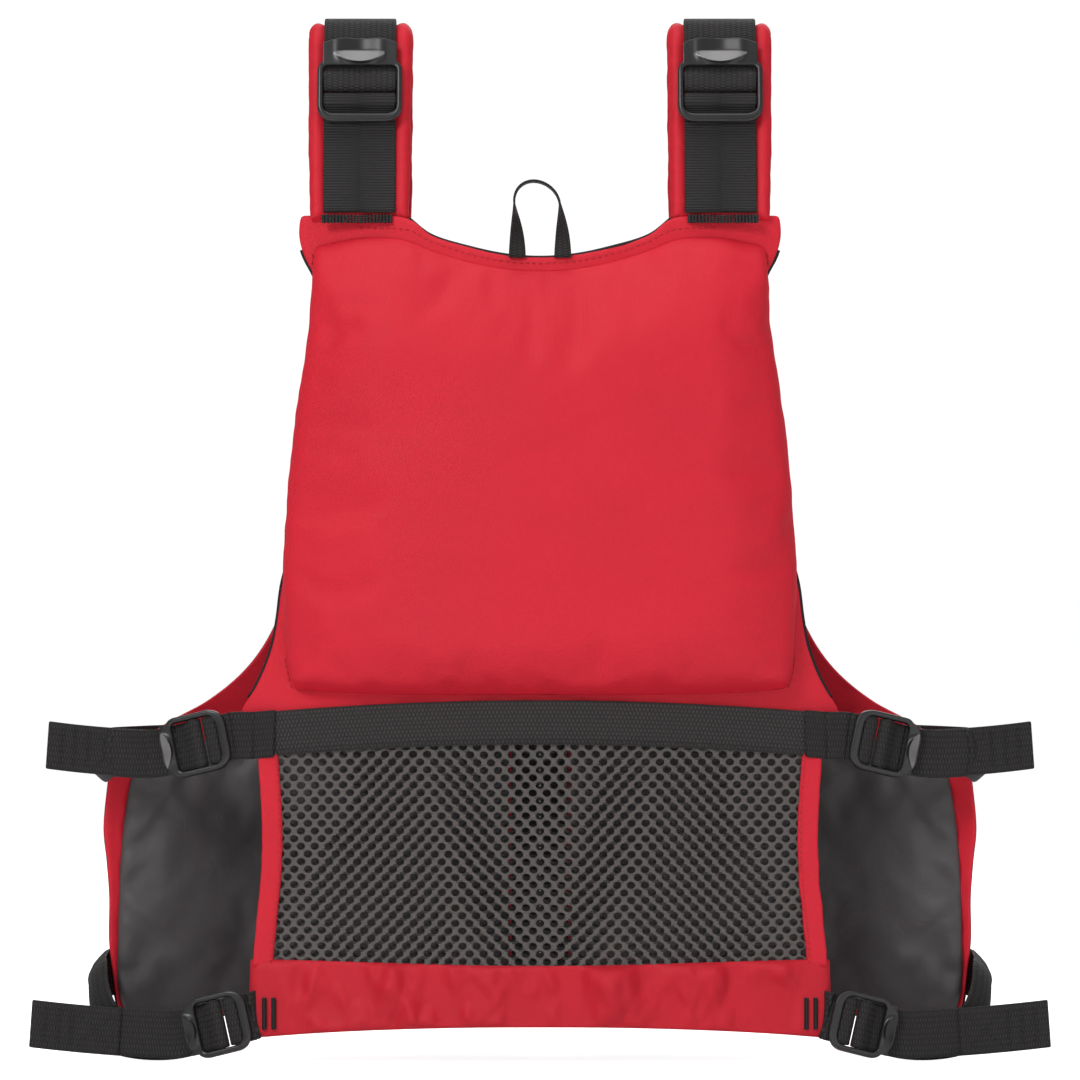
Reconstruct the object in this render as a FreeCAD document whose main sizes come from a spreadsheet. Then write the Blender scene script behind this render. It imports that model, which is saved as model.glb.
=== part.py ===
"""A paddling life jacket, in millimetres: +Z up, the back of the jacket faces -Y, the wearer's left is at -X.

The origin lies on the mirror plane, at the middle of the depth, level with the lowest strap.
Panels are cut from two large tilted cylinders, one round the back and one round the front, so that every
layer of a panel is a band of radii inside an outline drawn in the XZ plane. Webbing is a band of constant
thickness that follows a rounded path. Parts of the right side are mirrored from the left side.
"""
import FreeCAD, Part
import math
import os

import Sketcher
from FreeCAD import Placement, Rotation, Vector

DIMS = {
    # webbing, thread and fabric
    "side_web": 25.4, "shoulder_web": 38.1, "web_thick": 1.5, "anchor_thick": 2.6, "anchor_reach": 64.0,
    "loose_end": 62.0, "fabric_thick": 1.0, "mesh_thick": 0.8, "play": 0.3, "piping": 1.6,
    # the back: radius of the outer face, where its axis stands, how it leans, and depths below the outer face
    "back_radius": 700.0, "back_axis_y": 591.0, "back_lean": 4.5, "cushion_thick": 38.0,
    "flange_depth": 28.0, "foam_seam_depth": 19.0,
    # the front: radius of the inner face, its axis, lean, and thickness of the cushion
    "front_radius": 420.0, "front_axis_y": -362.1, "front_lean": 3.5, "front_thick": 36.0,
    "front_seam_depth": 18.0,
    # the back panel's outline
    "neck_low": 424.0, "neck_half": 69.0, "strap_base": 444.0, "neck_round": 140.0,
    "ear_half": 124.5, "ear_low": 428.0, "arm_high_half": 120.0, "arm_high": 412.0, "arm_bend": 388.0,
    "arm_bend_round": 110.0, "arm_mid_half": 127.6, "arm_mid": 350.0, "arm_round": 900.0,
    "arm_low_half": 138.0, "arm_low": 240.0, "flare_round": 95.0, "flare_half": 158.0, "flare_low": 186.5,
    "flange_low": 191.0,
    # the cushion inside that outline
    "cush_neck": 417.0, "cush_neck_half": 72.0, "cush_top": 434.0, "cush_top_half": 111.0,
    "cush_low_half": 134.0, "cush_mid": 245.0, "cush_foot_half": 131.0, "cush_foot": 193.5,
    "cush_round": 6000.0,
    # mesh, hem, bindings and the waist webbing
    "hem_half": 151.0, "hem_low": 16.0, "hem_high": 51.5, "mesh_half": 137.0, "binding_half": 146.5,
    "mesh_high": 186.0, "waist_half": 152.0, "waist_mid_low": 167.0, "waist_mid_high": 190.4,
    "tack_wide": 2.6, "tack_thick": 0.6, "tack_tall": 17.0, "tack_low": 17.0, "tack_near": 141.6,
    "tack_far": 146.5,
    "waist_end_low": 159.5, "waist_end_high": 183.5,
    # one half of the front
    "zip_edge": 15.0, "front_low": 28.0, "zip_high": 345.0, "front_neck_round": 120.0,
    "front_neck_half": 67.0, "front_base": 432.0, "front_strap_half": 123.0, "front_arm_round": 330.0,
    "front_arm_half": 139.0, "front_arm": 232.0, "wing_round": 118.0, "wing_half": 224.0, "wing_high": 157.0,
    "wing_edge_round": 500.0, "wing_low_half": 223.0, "front_inset": 7.0,
    # shoulder straps
    "shoulder_x": 94.5, "pad_width": 55.0, "pad_thick": 8.0, "top_z": 531.0, "pad_mid_radius": 10.0,
    "leg_lean": 17.0, "front_leg_lean": 18.0, "crown_gap": 0.5,
    # ladder-lock buckles
    "rail": 3.0, "rail_low": -3.2, "rail_high": 3.8, "bar_radius": 1.8, "slot_play": 0.8,
    "side_back": 8.4, "side_front": 25.0, "side_bar": 9.0,
    "shoulder_back": 13.0, "shoulder_front": 34.5, "shoulder_bar": 13.0, "shoulder_bar_drop": 29.0,
    # zip
    "zip_low": 32.0, "tooth_pitch": 4.2, "tooth_height": 1.8, "tooth_thick": 2.6, "tooth_reach": 1.3,
    "tooth_edge": 2.2, "tape_thick": 0.8, "tape_edge": 2.4, "tape_out": 19.0, "slider_width": 12.0,
    "slider_height": 15.0, "slider_plate": 1.3,
    # pockets
    "pocket_in": 42.0, "pocket_out": 168.0, "pocket_low": 52.0, "pocket_high": 172.0, "pocket_depth": 6.0,
    "flap_in": 38.0, "flap_out": 172.0, "flap_high": 177.0, "flap_low": 139.0, "flap_thick": 2.0,
    # the slanting line about which each half of the front opens: two points on it, half-width by height
    "swing_low_half": 239.5, "swing_low": 158.9, "swing_low_y": -23.2, "swing_high_half": 127.0,
    "swing_high": 545.0,
    # hang loop
    "loop_radius": 12.0, "loop_width": 9.0, "loop_spring": 452.0, "loop_foot": 427.5,
    "loop_thick": 1.2,
}
PARTS = []
doc = FreeCAD.newDocument("life_jacket")
sheet = doc.addObject("Spreadsheet::Sheet", "Sheet")
for row, (alias, value) in enumerate(DIMS.items(), start=1):
    sheet.set(f"A{row}", alias)
    sheet.set(f"B{row}", str(value))
    sheet.setAlias(f"B{row}", alias)
doc.recompute()


# ---------------------------------------------------------------- helpers

def size(name):
    """The value of a dimension; a leading minus sign turns it round, and "0" is nought."""
    if name == "0":
        return 0.0
    return -DIMS[name[1:]] if name.startswith("-") else DIMS[name]


def cell(name):
    """The same dimension as an expression."""
    return "-Sheet." + name[1:] if name.startswith("-") else "Sheet." + name


def keep(obj, label):
    """Marks an object as a sub-part; its label names its file."""
    obj.Label = label
    PARTS.append(obj)
    return obj


def mirrored(obj, label):
    """The right-hand twin of a left-hand sub-part."""
    twin = doc.addObject("Part::Mirroring", "twin_" + label)
    twin.Source = obj
    twin.Normal = Vector(1, 0, 0)
    return keep(twin, label)


def pair(obj, stem):
    """Keeps a left-hand sub-part and its right-hand twin."""
    keep(obj, stem + "_left")
    mirrored(obj, stem + "_right")
    return obj


def group(name, members):
    """Several solids that make one sub-part."""
    bundle = doc.addObject("Part::Compound", name)
    bundle.Links = members
    return bundle


def twin(obj):
    """A mirrored solid that isn't a sub-part of its own."""
    other = doc.addObject("Part::Mirroring", "other_" + obj.Name)
    other.Source = obj
    other.Normal = Vector(1, 0, 0)
    return other


def both_sides(left):
    """A closed list of corners, from a list that runs down the left side and ends on the mirror plane."""
    def other(name):
        if name == "0":
            return name
        return name[1:] if name.startswith("-") else "-" + name
    arcs = [corner[2] for corner in left[:-1]]
    right = [(other(x), z) for x, z, _ in reversed(left[:-1])]
    full = [(x, z, arc) for (x, z, _), arc in zip(left[:-1], arcs)]
    full.append((left[-1][0], left[-1][1], arcs[-1]))
    full += [(x, z, arc) for (x, z), arc in zip(right[:-1], reversed(arcs[:-1]))]
    return full


def arc_middle(start, end, radius, bulge):
    """The middle of an arc from start to end; bulge +1 lies left of the way there, -1 right."""
    chord = end - start
    half = chord.Length / 2
    rise = radius - math.sqrt(radius * radius - half * half)
    side = Vector(-chord.y, chord.x, 0).normalize() * bulge
    return (start + end) * 0.5 + side * rise


def outline(name, corners):
    """A closed sketch in the XZ plane. Each corner is (x, z, arc); arc is None for a straight edge to the next
    corner, or (radius, bulge). Every corner and radius is bound to its cell."""
    sketch = doc.addObject("Sketcher::SketchObject", name)
    sketch.Placement = Placement(Vector(), Rotation(Vector(1, 0, 0), 90))
    points = [Vector(size(x), size(z), 0) for x, z, _ in corners]
    ends = []
    for i, (start, corner) in enumerate(zip(points, corners)):
        end = points[(i + 1) % len(points)]
        if corner[2] is None:
            sketch.addGeometry(Part.LineSegment(start, end))
        else:
            middle = arc_middle(start, end, size(corner[2][0]), corner[2][1])
            sketch.addGeometry(Part.Arc(start, middle, end))
        forward = sketch.getPoint(i, 1).distanceToPoint(start) < 1e-6
        ends.append((1, 2) if forward else (2, 1))
    for i, corner in enumerate(corners):
        after = (i + 1) % len(corners)
        sketch.addConstraint(Sketcher.Constraint("Coincident", i, ends[i][1], after, ends[after][0]))
    for i, (x, z, arc) in enumerate(corners):
        if x == "0":
            sketch.addConstraint(Sketcher.Constraint("PointOnObject", i, ends[i][0], -2))
        else:
            number = sketch.addConstraint(
                Sketcher.Constraint("DistanceX", -1, 1, i, ends[i][0], size(x)))
            sketch.setExpression(f"Constraints[{number}]", cell(x))
        number = sketch.addConstraint(Sketcher.Constraint("DistanceY", -1, 1, i, ends[i][0], size(z)))
        sketch.setExpression(f"Constraints[{number}]", cell(z))
        if arc is not None:
            number = sketch.addConstraint(Sketcher.Constraint("Radius", i, size(arc[0])))
            sketch.setExpression(f"Constraints[{number}]", cell(arc[0]))
    return sketch


def inset(name, source, distance):
    """The outline moved inwards by a distance, which is an expression."""
    ring = doc.addObject("Part::Offset2D", name)
    ring.Source = source
    ring.Join = "Intersection"
    ring.setExpression("Value", f"-({distance})")
    return ring


def prism(name, profile, front, back):
    """A profile in the XZ plane made solid from y = front to y = back."""
    solid = doc.addObject("Part::Extrusion", name)
    solid.Base = profile
    solid.DirMode = "Custom"
    solid.Dir = Vector(0, 1, 0)
    solid.LengthFwd = back
    solid.LengthRev = -front
    solid.Solid = True
    return solid


def tube(name, inner, outer, axis_y, lean):
    """The layer between two radii round a leaning axis. The radii and the lean in degrees are expressions."""
    discs = []
    for which, radius in (("in", inner), ("out", outer)):
        disc = doc.addObject("Part::Cylinder", f"{name}_{which}")
        disc.setExpression("Radius", radius)
        disc.Height = 800
        disc.Placement = Placement(Vector(0, axis_y, 0), Rotation(Vector(1, 0, 0), lean)).multiply(
            Placement(Vector(0, 0, -100), Rotation()))
        discs.append(disc)
    layer = doc.addObject("Part::Cut", name)
    layer.Base, layer.Tool = discs[1], discs[0]
    return layer


def common(name, a, b):
    solid = doc.addObject("Part::Common", name)
    solid.Base, solid.Tool = a, b
    return solid


def cut(name, a, b):
    solid = doc.addObject("Part::Cut", name)
    solid.Base, solid.Tool = a, b
    return solid


def fuse(name, a, b):
    solid = doc.addObject("Part::Fuse", name)
    solid.Base, solid.Tool, solid.Refine = a, b, True
    return solid


def back_layer(name, profile, deep, shallow):
    """A layer of the back between two depths below its outer face, inside a profile."""
    layer = tube(name + "_layer", f"Sheet.back_radius - ({deep})", f"Sheet.back_radius - ({shallow})",
                 DIMS["back_axis_y"], -DIMS["back_lean"])
    return common(name, prism(name + "_prism", profile, -130, 60), layer)


def front_layer(name, profile, low, high):
    """A layer of the front between two heights above its inner face, inside a profile."""
    layer = tube(name + "_layer", f"Sheet.front_radius + ({low})", f"Sheet.front_radius + ({high})",
                 DIMS["front_axis_y"], DIMS["front_lean"])
    return common(name, prism(name + "_prism", profile, -60, 140), layer)


def back_y(x, z, depth):
    """The y of the back's layer at a depth below its outer face."""
    lean = math.radians(DIMS["back_lean"])
    reach = math.sqrt((DIMS["back_radius"] - depth) ** 2 - x * x)
    return DIMS["back_axis_y"] + (z * math.sin(lean) - reach) / math.cos(lean)


def front_frame():
    """The frame whose Z is the front's leaning axis; the front's plan view is drawn in it."""
    return Placement(Vector(), Rotation(Vector(1, 0, 0), DIMS["front_lean"]))


def front_plan_y(x, height):
    """In that frame, the y of the front's surface at a height above its inner face."""
    axis = DIMS["front_axis_y"] * math.cos(math.radians(DIMS["front_lean"]))
    return axis + math.sqrt((DIMS["front_radius"] + height) ** 2 - x * x)


# ---------------------------------------------------------------- webbing

def rounded_path(points, radii):
    """Edges along points, with each inner corner rounded by its radius."""
    edges, at = [], points[0]
    for i in range(1, len(points) - 1):
        corner = points[i]
        back = (points[i - 1] - corner).normalize()
        ahead = (points[i + 1] - corner).normalize()
        angle = back.getAngle(ahead)
        run = radii[i] / math.tan(angle / 2)
        start, end = corner + back * run, corner + ahead * run
        bisector = (back + ahead).normalize()
        middle = corner + bisector * (radii[i] / math.sin(angle / 2) - radii[i])
        if at.distanceToPoint(start) > 1e-4:
            edges.append(Part.makeLine(at, start))
        edges.append(Part.Arc(start, middle, end).toShape())
        at = end
    if at.distanceToPoint(points[-1]) > 1e-4:
        edges.append(Part.makeLine(at, points[-1]))
    return edges


def moved_path(points, radii, shift):
    """The same path moved sideways in the XY plane, to its left for a positive shift."""
    def left(a, b):
        return Vector(-(b - a).y, (b - a).x, 0).normalize()
    moved, rounds = [points[0] + left(points[0], points[1]) * shift], [0]
    for i in range(1, len(points) - 1):
        before, after = left(points[i - 1], points[i]), left(points[i], points[i + 1])
        mitre = (before + after).normalize()
        moved.append(points[i] + mitre * (shift / mitre.dot(before)))
        turn = (points[i] - points[i - 1]).cross(points[i + 1] - points[i]).z
        rounds.append(radii[i] - shift if turn > 0 else radii[i] + shift)
    moved.append(points[-1] + left(points[-2], points[-1]) * shift)
    return moved, rounds + [0]


def band(name, points, rounds, thick, width, place):
    """A strip of webbing: its path is drawn in the XY plane of place, and its width runs both ways along Z.
    thick and width name dimensions."""
    path = [Vector(x, y, 0) for x, y in points]
    radii = [0] + list(rounds) + [0]
    sides = [moved_path(path, radii, shift) for shift in (DIMS[thick] / 2, -DIMS[thick] / 2)]
    left, right = (rounded_path(*side) for side in sides)
    edges = left + [Part.makeLine(sides[0][0][-1], sides[1][0][-1])] + right
    edges.append(Part.makeLine(sides[1][0][0], sides[0][0][0]))
    face = Part.Face(Part.Wire(Part.__sortEdges__(edges)))
    face.Placement = place
    profile = doc.addObject("Part::Feature", name + "_profile")
    profile.Shape = face
    strip = doc.addObject("Part::Extrusion", name)
    strip.Base = profile
    strip.DirMode = "Custom"
    strip.Dir = place.Rotation.multVec(Vector(0, 0, 1))
    strip.setExpression("LengthFwd", cell(width))
    strip.Symmetric = True
    strip.Solid = True
    return strip


def ribbon(name, sections, thick, width):
    """A strip that twists: each section is (centre, direction across, direction through)."""
    wires = []
    for centre, across, through in sections:
        a, t = across.normalize() * (width / 2), through.normalize() * (thick / 2)
        corners = [centre + a + t, centre - a + t, centre - a - t, centre + a - t]
        wires.append(Part.makePolygon(corners + corners[:1]))
    strip = doc.addObject("Part::Feature", name)
    strip.Shape = Part.makeLoft(wires, True, True)
    return strip


# ---------------------------------------------------------------- back panel

def arc_of(radius, bulge):
    return (radius, bulge)


def build_back():
    """Two foam sheets in a red cover with a black lining, the flange round it, and the black piping."""
    rim = outline("back_rim", both_sides([
        ("0", "neck_low", arc_of("neck_round", 1)), ("-neck_half", "strap_base", None),
        ("-ear_half", "strap_base", None), ("-ear_half", "ear_low", None),
        ("-arm_high_half", "arm_high", None), ("-arm_high_half", "arm_bend", arc_of("arm_bend_round", 1)),
        ("-arm_mid_half", "arm_mid", arc_of("arm_round", -1)),
        ("-arm_low_half", "arm_low", arc_of("flare_round", 1)),
        ("-flare_half", "flare_low", None), ("0", "flange_low", None)]))
    edge = inset("back_edge", rim, "Sheet.piping")
    cushion = outline("cushion_edge", both_sides([
        ("0", "cush_neck", arc_of("neck_round", 1)), ("-cush_neck_half", "cush_top", None),
        ("-cush_top_half", "cush_top", arc_of("cush_round", -1)), ("-cush_low_half", "cush_mid", None),
        ("-cush_foot_half", "cush_foot", None), ("0", "cush_foot", None)]))
    inner = inset("foam_edge", cushion, "2 * Sheet.fabric_thick")
    flange = back_layer("back_flange", edge, "Sheet.flange_depth + Sheet.fabric_thick", "Sheet.flange_depth")
    dome = back_layer("back_dome", cushion, "Sheet.cushion_thick - Sheet.fabric_thick", "0")
    room = back_layer("back_room", inset("room_edge", cushion, "Sheet.fabric_thick"),
                      "Sheet.cushion_thick + 1", "Sheet.fabric_thick")
    keep(cut("back_shell_solid", fuse("back_hat", dome, flange), room), "back_shell")
    skin = "Sheet.fabric_thick + Sheet.play"
    keep(back_layer("foam_out", inner, "Sheet.foam_seam_depth - Sheet.play", skin),
         "back_foam_outer")
    keep(back_layer("foam_in", inner, "Sheet.cushion_thick - Sheet.fabric_thick - Sheet.play",
                    "Sheet.foam_seam_depth"), "back_foam_inner")
    lining = "Sheet.cushion_thick - Sheet.fabric_thick + 0.1"
    keep(back_layer("lining_back", cushion, "Sheet.cushion_thick", lining),
         "back_lining")
    ring = cut("piping_ring", back_layer("piping_full", rim, "Sheet.flange_depth + 1.6",
                                         "Sheet.flange_depth - 0.6"), prism("piping_hole", edge, -130, 60))
    low = doc.addObject("Part::Box", "piping_stop")
    low.Length, low.Width, low.Height = 400, 300, 200
    low.Placement.Base = Vector(-200, -150, DIMS["flare_low"] + 3 - 200)
    gap = doc.addObject("Part::Box", "strap_gap")
    gap.Length, gap.Width, gap.Height = 2 * (DIMS["ear_half"] + 3), 300, 60
    gap.Placement.Base = Vector(-DIMS["ear_half"] - 3, -150, DIMS["strap_base"] - 1)
    keep(cut("piping_trim", cut("piping_low", ring, low), gap), "back_piping")


def build_mesh():
    """The open lower back: two layers of mesh, bindings down the sides and a hem with thread bars."""
    sheet_edge = outline("mesh_edge", both_sides([
        ("0", "mesh_high", None), ("-mesh_half", "mesh_high", None), ("-mesh_half", "hem_high", None),
        ("0", "hem_high", None)]))
    depth = "Sheet.flange_depth"
    keep(back_layer("mesh_out", sheet_edge, f"{depth} + Sheet.mesh_thick", depth), "mesh_outer")
    behind = f"{depth} + 2.6"
    keep(back_layer("mesh_in", sheet_edge, f"{behind} + Sheet.mesh_thick", behind), "mesh_inner")
    strip = outline("binding_edge", [
        ("-mesh_half", "mesh_high", None), ("-binding_half", "mesh_high", None),
        ("-binding_half", "hem_high", None), ("-mesh_half", "hem_high", None)])
    clear = inset("binding_clear", strip, "Sheet.play")
    left = back_layer("binding", clear, f"{depth} + 3.4", f"{depth} - 0.6")
    keep(group("bindings", [left, twin(left)]), "mesh_bindings")
    band_edge = outline("hem_edge", both_sides([
        ("0", "hem_high", None), ("-hem_half", "hem_high", None), ("-hem_half", "hem_low", None),
        ("0", "hem_low", None)]))
    keep(back_layer("hem", inset("hem_clear", band_edge, "Sheet.play"), f"{depth} + 3.6", f"{depth} - 1.0"),
         "bottom_hem")
    thread = []
    for number, near in enumerate(("tack_near", "tack_far")):
        bar = doc.addObject("Part::Box", f"tack_{number}")
        bar.setExpression("Length", "Sheet.tack_wide")
        bar.setExpression("Width", "Sheet.tack_thick")
        bar.setExpression("Height", "Sheet.tack_tall")
        spot = DIMS[near]
        surface = back_y(spot, DIMS["tack_low"], DIMS["flange_depth"] - 1.4)
        corner = Vector(-spot, surface - DIMS["tack_thick"], DIMS["tack_low"])
        swing = math.degrees(math.asin(spot / DIMS["back_radius"]))
        leaned = Placement(corner, Rotation(Vector(1, 0, 0), -DIMS["back_lean"]))
        bar.Placement = leaned.multiply(Placement(Vector(), Rotation(Vector(0, 0, 1), -swing)))
        thread += [bar, twin(bar)]
    keep(group("tacks", thread), "hem_bar_tacks")
    waist = outline("waist_edge", both_sides([
        ("0", "waist_mid_high", None), ("-waist_half", "waist_end_high", None),
        ("-waist_half", "waist_end_low", None), ("0", "waist_mid_low", None)]))
    keep(back_layer("waist", waist, f"{depth} - 0.9", f"{depth} - 0.9 - Sheet.web_thick"),
         "waist_webbing")


# ---------------------------------------------------------------- buckles

def side_place(x, z, roll):
    """Where a left-hand side buckle sits. Its frame has X along the strap to its tab, Z out of the jacket,
    and its origin on the bar that the sewn loop goes round. x and z place that bar; roll drops the tab."""
    lean = math.radians(DIMS["back_lean"])
    radius = DIMS["back_radius"] - DIMS["flange_depth"]
    swing = math.asin(-x / radius)
    up = Vector(0, math.sin(lean), math.cos(lean))
    along = Vector(-math.cos(swing), math.sin(swing) * math.cos(lean), -math.sin(swing) * math.sin(lean))
    out = up.cross(along)
    out = out if out.y < 0 else out * -1
    turn = math.radians(roll)
    u = along * math.cos(turn) - up * math.sin(turn)
    v = out.cross(u)
    base = Vector(x, back_y(x, z, DIMS["flange_depth"]), z) + out * 6.0
    return Placement(base, Rotation(u, v, out, "ZXY"))


def shoulder_place():
    """The same for the left-hand shoulder buckle, which lies on the strap's back leg with its tab upwards."""
    lean = math.radians(DIMS["leg_lean"])
    u = Vector(0, math.sin(lean), math.cos(lean))
    out = Vector(0, -math.cos(lean), math.sin(lean))
    level = DIMS["pad_mid_radius"] + DIMS["pad_thick"] / 2 + 0.4 + DIMS["web_thick"] / 2 - LOW_LEG
    crown = Vector(-DIMS["shoulder_x"], -DIMS["crown_gap"], DIMS["top_z"])
    base = crown + out * level - u * DIMS["shoulder_bar_drop"]
    return Placement(base, Rotation(u, out.cross(u), out, "ZXY"))


def buckle(name, web, back, front, bar, place):
    """A ladder-lock: a rounded ring, two crossbars and a thumb tab. back and front are its reach from the
    first bar, and bar is the distance to the second bar; all are names of dimensions, as is web."""
    body = doc.addObject("PartDesign::Body", name)
    plane = [f for f in body.Origin.OriginFeatures if f.Role == "XY_Plane"][0]
    side = [f for f in body.Origin.OriginFeatures if f.Role == "XZ_Plane"][0]
    slot = DIMS[web] + DIMS["slot_play"]
    wide = slot + 2 * DIMS["rail"]

    ring = body.newObject("Sketcher::SketchObject", name + "_ring")
    ring.AttachmentSupport, ring.MapMode = (plane, [""]), "FlatFace"
    ring.AttachmentOffset = Placement(Vector(0, 0, DIMS["rail_low"]), Rotation())
    for x0, x1, half, corner in ((-DIMS[back], DIMS[front] - 3, wide / 2, 5.0),
                                 (-DIMS[back] + 2.8, DIMS[front] - 8.0, slot / 2, 1.4)):
        add_rounded_rectangle(ring, x0, x1, half, corner)
    pad = body.newObject("PartDesign::Pad", name + "_pad")
    pad.Profile = ring
    pad.setExpression("Length", "Sheet.rail_high - Sheet.rail_low")

    bars = body.newObject("Sketcher::SketchObject", name + "_bars")
    bars.AttachmentSupport, bars.MapMode = (side, [""]), "FlatFace"
    for x, z in ((0, 0), (DIMS[bar], 0.8)):
        bars.addGeometry(Part.Circle(Vector(x, z, 0), Vector(0, 0, 1), DIMS["bar_radius"]))
    rungs = body.newObject("PartDesign::Pad", name + "_rungs")
    rungs.Profile = bars
    rungs.Length = wide - DIMS["rail"]
    rungs.Midplane = True

    trim = body.newObject("Sketcher::SketchObject", name + "_trim")
    trim.AttachmentSupport, trim.MapMode = (side, [""]), "FlatFace"
    low = DIMS["rail_low"] - 1
    x0, x1 = -DIMS[back] - 1, -DIMS[back] + 3.4
    add_polygon(trim, [(x0, low), (x1, low), (x1, 0.9), (x0, 0.9)])
    x2, x3 = DIMS[front] - 8.6, DIMS[front] + 1
    add_polygon(trim, [(x2, low), (x3, low), (x3, 0.9), (x2, 0.1)])
    sole = body.newObject("PartDesign::Pocket", name + "_sole")
    sole.Profile = trim
    sole.Length = slot + 0.2
    sole.Midplane = True

    lip = body.newObject("Sketcher::SketchObject", name + "_lip")
    lip.AttachmentSupport, lip.MapMode = (side, [""]), "FlatFace"
    tip = DIMS[front]
    add_polygon(lip, [(tip - 7.5, 0.6), (tip - 2.0, 1.4), (tip, 4.2), (tip - 0.6, 5.4), (tip - 2.6, 4.6),
                      (tip - 5.5, 3.8), (tip - 7.5, 3.8)])
    tab = body.newObject("PartDesign::Pad", name + "_tab")
    tab.Profile = lip
    tab.Length = slot - 2.0
    tab.Midplane = True
    body.Tip = tab
    doc.recompute()
    soft = body.newObject("PartDesign::Fillet", name + "_soft")
    top = DIMS["rail_high"]
    rim = [f"Edge{i}" for i, edge in enumerate(tab.Shape.Edges, start=1)
           if edge.BoundBox.ZMin > top - 0.01 and edge.BoundBox.ZMax < top + 0.01 and edge.Length > 1.0
           and (abs(edge.BoundBox.YMax) > wide / 2 - 5.01 or abs(edge.BoundBox.YMin) > wide / 2 - 5.01)
           and max(abs(edge.BoundBox.YMax), abs(edge.BoundBox.YMin)) > slot / 2 + 0.5]
    soft.Base = (tab, rim)
    soft.Radius = 1.2
    body.Tip = soft
    doc.recompute()
    if "Invalid" in soft.State or "Error" in soft.State or not soft.Shape.isValid():
        body.removeObject(soft)
        doc.removeObject(soft.Name)
        body.Tip = tab
    body.Placement = place
    return body


def add_polygon(sketch, points):
    for i, (x, y) in enumerate(points):
        after = points[(i + 1) % len(points)]
        sketch.addGeometry(Part.LineSegment(Vector(x, y, 0), Vector(*after, 0)))


def add_rounded_rectangle(sketch, x0, x1, half, corner):
    """Four sides and four quarter arcs, symmetric about the sketch's X axis."""
    straight = [((x0 + corner, -half), (x1 - corner, -half)), ((x1, -half + corner), (x1, half - corner)),
                ((x1 - corner, half), (x0 + corner, half)), ((x0, half - corner), (x0, -half + corner))]
    centres = [(x1 - corner, -half + corner), (x1 - corner, half - corner),
               (x0 + corner, half - corner), (x0 + corner, -half + corner)]
    for i, ((ax, ay), (bx, by)) in enumerate(straight):
        sketch.addGeometry(Part.LineSegment(Vector(ax, ay, 0), Vector(bx, by, 0)))
        circle = Part.Circle(Vector(*centres[i], 0), Vector(0, 0, 1), corner)
        sketch.addGeometry(Part.ArcOfCircle(circle, (i - 1) * math.pi / 2, i * math.pi / 2))


def tell(what, vector):
    """Prints a place or a direction that the record needs, in mm or as a unit vector."""
    print(what, [round(value, 5) for value in vector])


def tell_hinge(name, place, reach):
    """Prints where a left-hand buckle swings: at the stitching of its loop, about the webbing's width."""
    tell(f"{name} hinge at", place.multVec(Vector(-reach - 0.3, 0, LOW_LEG + 0.8)))
    tell(f"{name} hinge axis", place.Rotation.multVec(Vector(0, -1, 0)))


TURN = DIMS["bar_radius"] + 0.1 + DIMS["web_thick"] / 2
LOW_LEG = -TURN - 0.2
HIGH_LEG = LOW_LEG + DIMS["web_thick"] + 0.15


def strap_side(place):
    """The frame in which a strap's side view is drawn: X runs along the strap and Y out of the jacket."""
    return place.multiply(Placement(Vector(), Rotation(Vector(1, 0, 0), 90)))


def loop_path(reach):
    """The sewn loop round the first bar: both legs leave towards -X, one on the other."""
    points = [(-reach, HIGH_LEG), (-5.6, HIGH_LEG), (-2.2, TURN), (TURN, TURN), (TURN, LOW_LEG),
              (-reach, LOW_LEG)]
    return points, [3.0, 1.8, TURN, TURN]


def thread_path(bar, reach):
    """The strap round the second bar: it comes in under the tab, turns over the bar and leaves on top."""
    low, high = 0.8 - TURN, 0.8 + TURN
    points = [(reach, LOW_LEG), (bar + 3.0, LOW_LEG), (bar + 1.5, low), (bar - TURN, low), (bar - TURN, high),
              (bar + 2.4, high), (bar + 7.2, HIGH_LEG), (reach, HIGH_LEG)]
    return points, [4.0, 4.0, TURN, TURN, 2.0, 3.0]


SIDES = {"upper": {"x": -171.0, "z": 170.5, "roll": 12.0}, "lower": {"x": -161.6, "z": 20.14, "roll": 13.0}}
REACH = {"side_loop": 9.6, "side_thread": 28.0, "shoulder_loop": 15.0, "shoulder_thread": 27.0, "seam": 0.7}


def build_side_straps():
    """At each side, two ladder-locks with their webbing: the sewn loop on the first bar, the strap threaded
    round the second, the strap's loose end, and its run to the front."""
    runs = []
    for level, spot in SIDES.items():
        place = side_place(spot["x"], spot["z"], spot["roll"])
        side = strap_side(place)
        pair(buckle(f"lock_{level}", "side_web", "side_back", "side_front", "side_bar", place),
             f"side_buckle_{level}")
        path, rounds = loop_path(REACH["side_loop"])
        loop = band(f"loop_{level}", path, rounds, "web_thick", "side_web", side)
        path, rounds = thread_path(DIMS["side_bar"], REACH["side_thread"])
        thread = band(f"thread_{level}", path, rounds, "web_thick", "side_web", side)
        pair(group(f"laced_{level}", [loop, thread]), f"side_lacing_{level}")
        pair(build_tail(level, place), f"strap_tail_{level}")
        runs.append(build_load_strap(level, place))
        tell_hinge(f"side_buckle_{level}", place, REACH["side_loop"])
    pair(group("runs", runs), "side_straps")


def tail_place(place):
    """The loose end's frame: it starts under the tab and runs level, straight away from the jacket."""
    start = place.multVec(Vector(REACH["side_thread"] + 4.2, 0, HIGH_LEG + 0.1))
    along = Vector(-1, 0.10, 0.06).normalize()
    up = Vector(0, math.sin(math.radians(DIMS["back_lean"])), math.cos(math.radians(DIMS["back_lean"])))
    out = along.cross(up)
    out = out if out.y < 0 else out * -1
    return Placement(start, Rotation(along, out.cross(along), out, "ZXY"))


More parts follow.
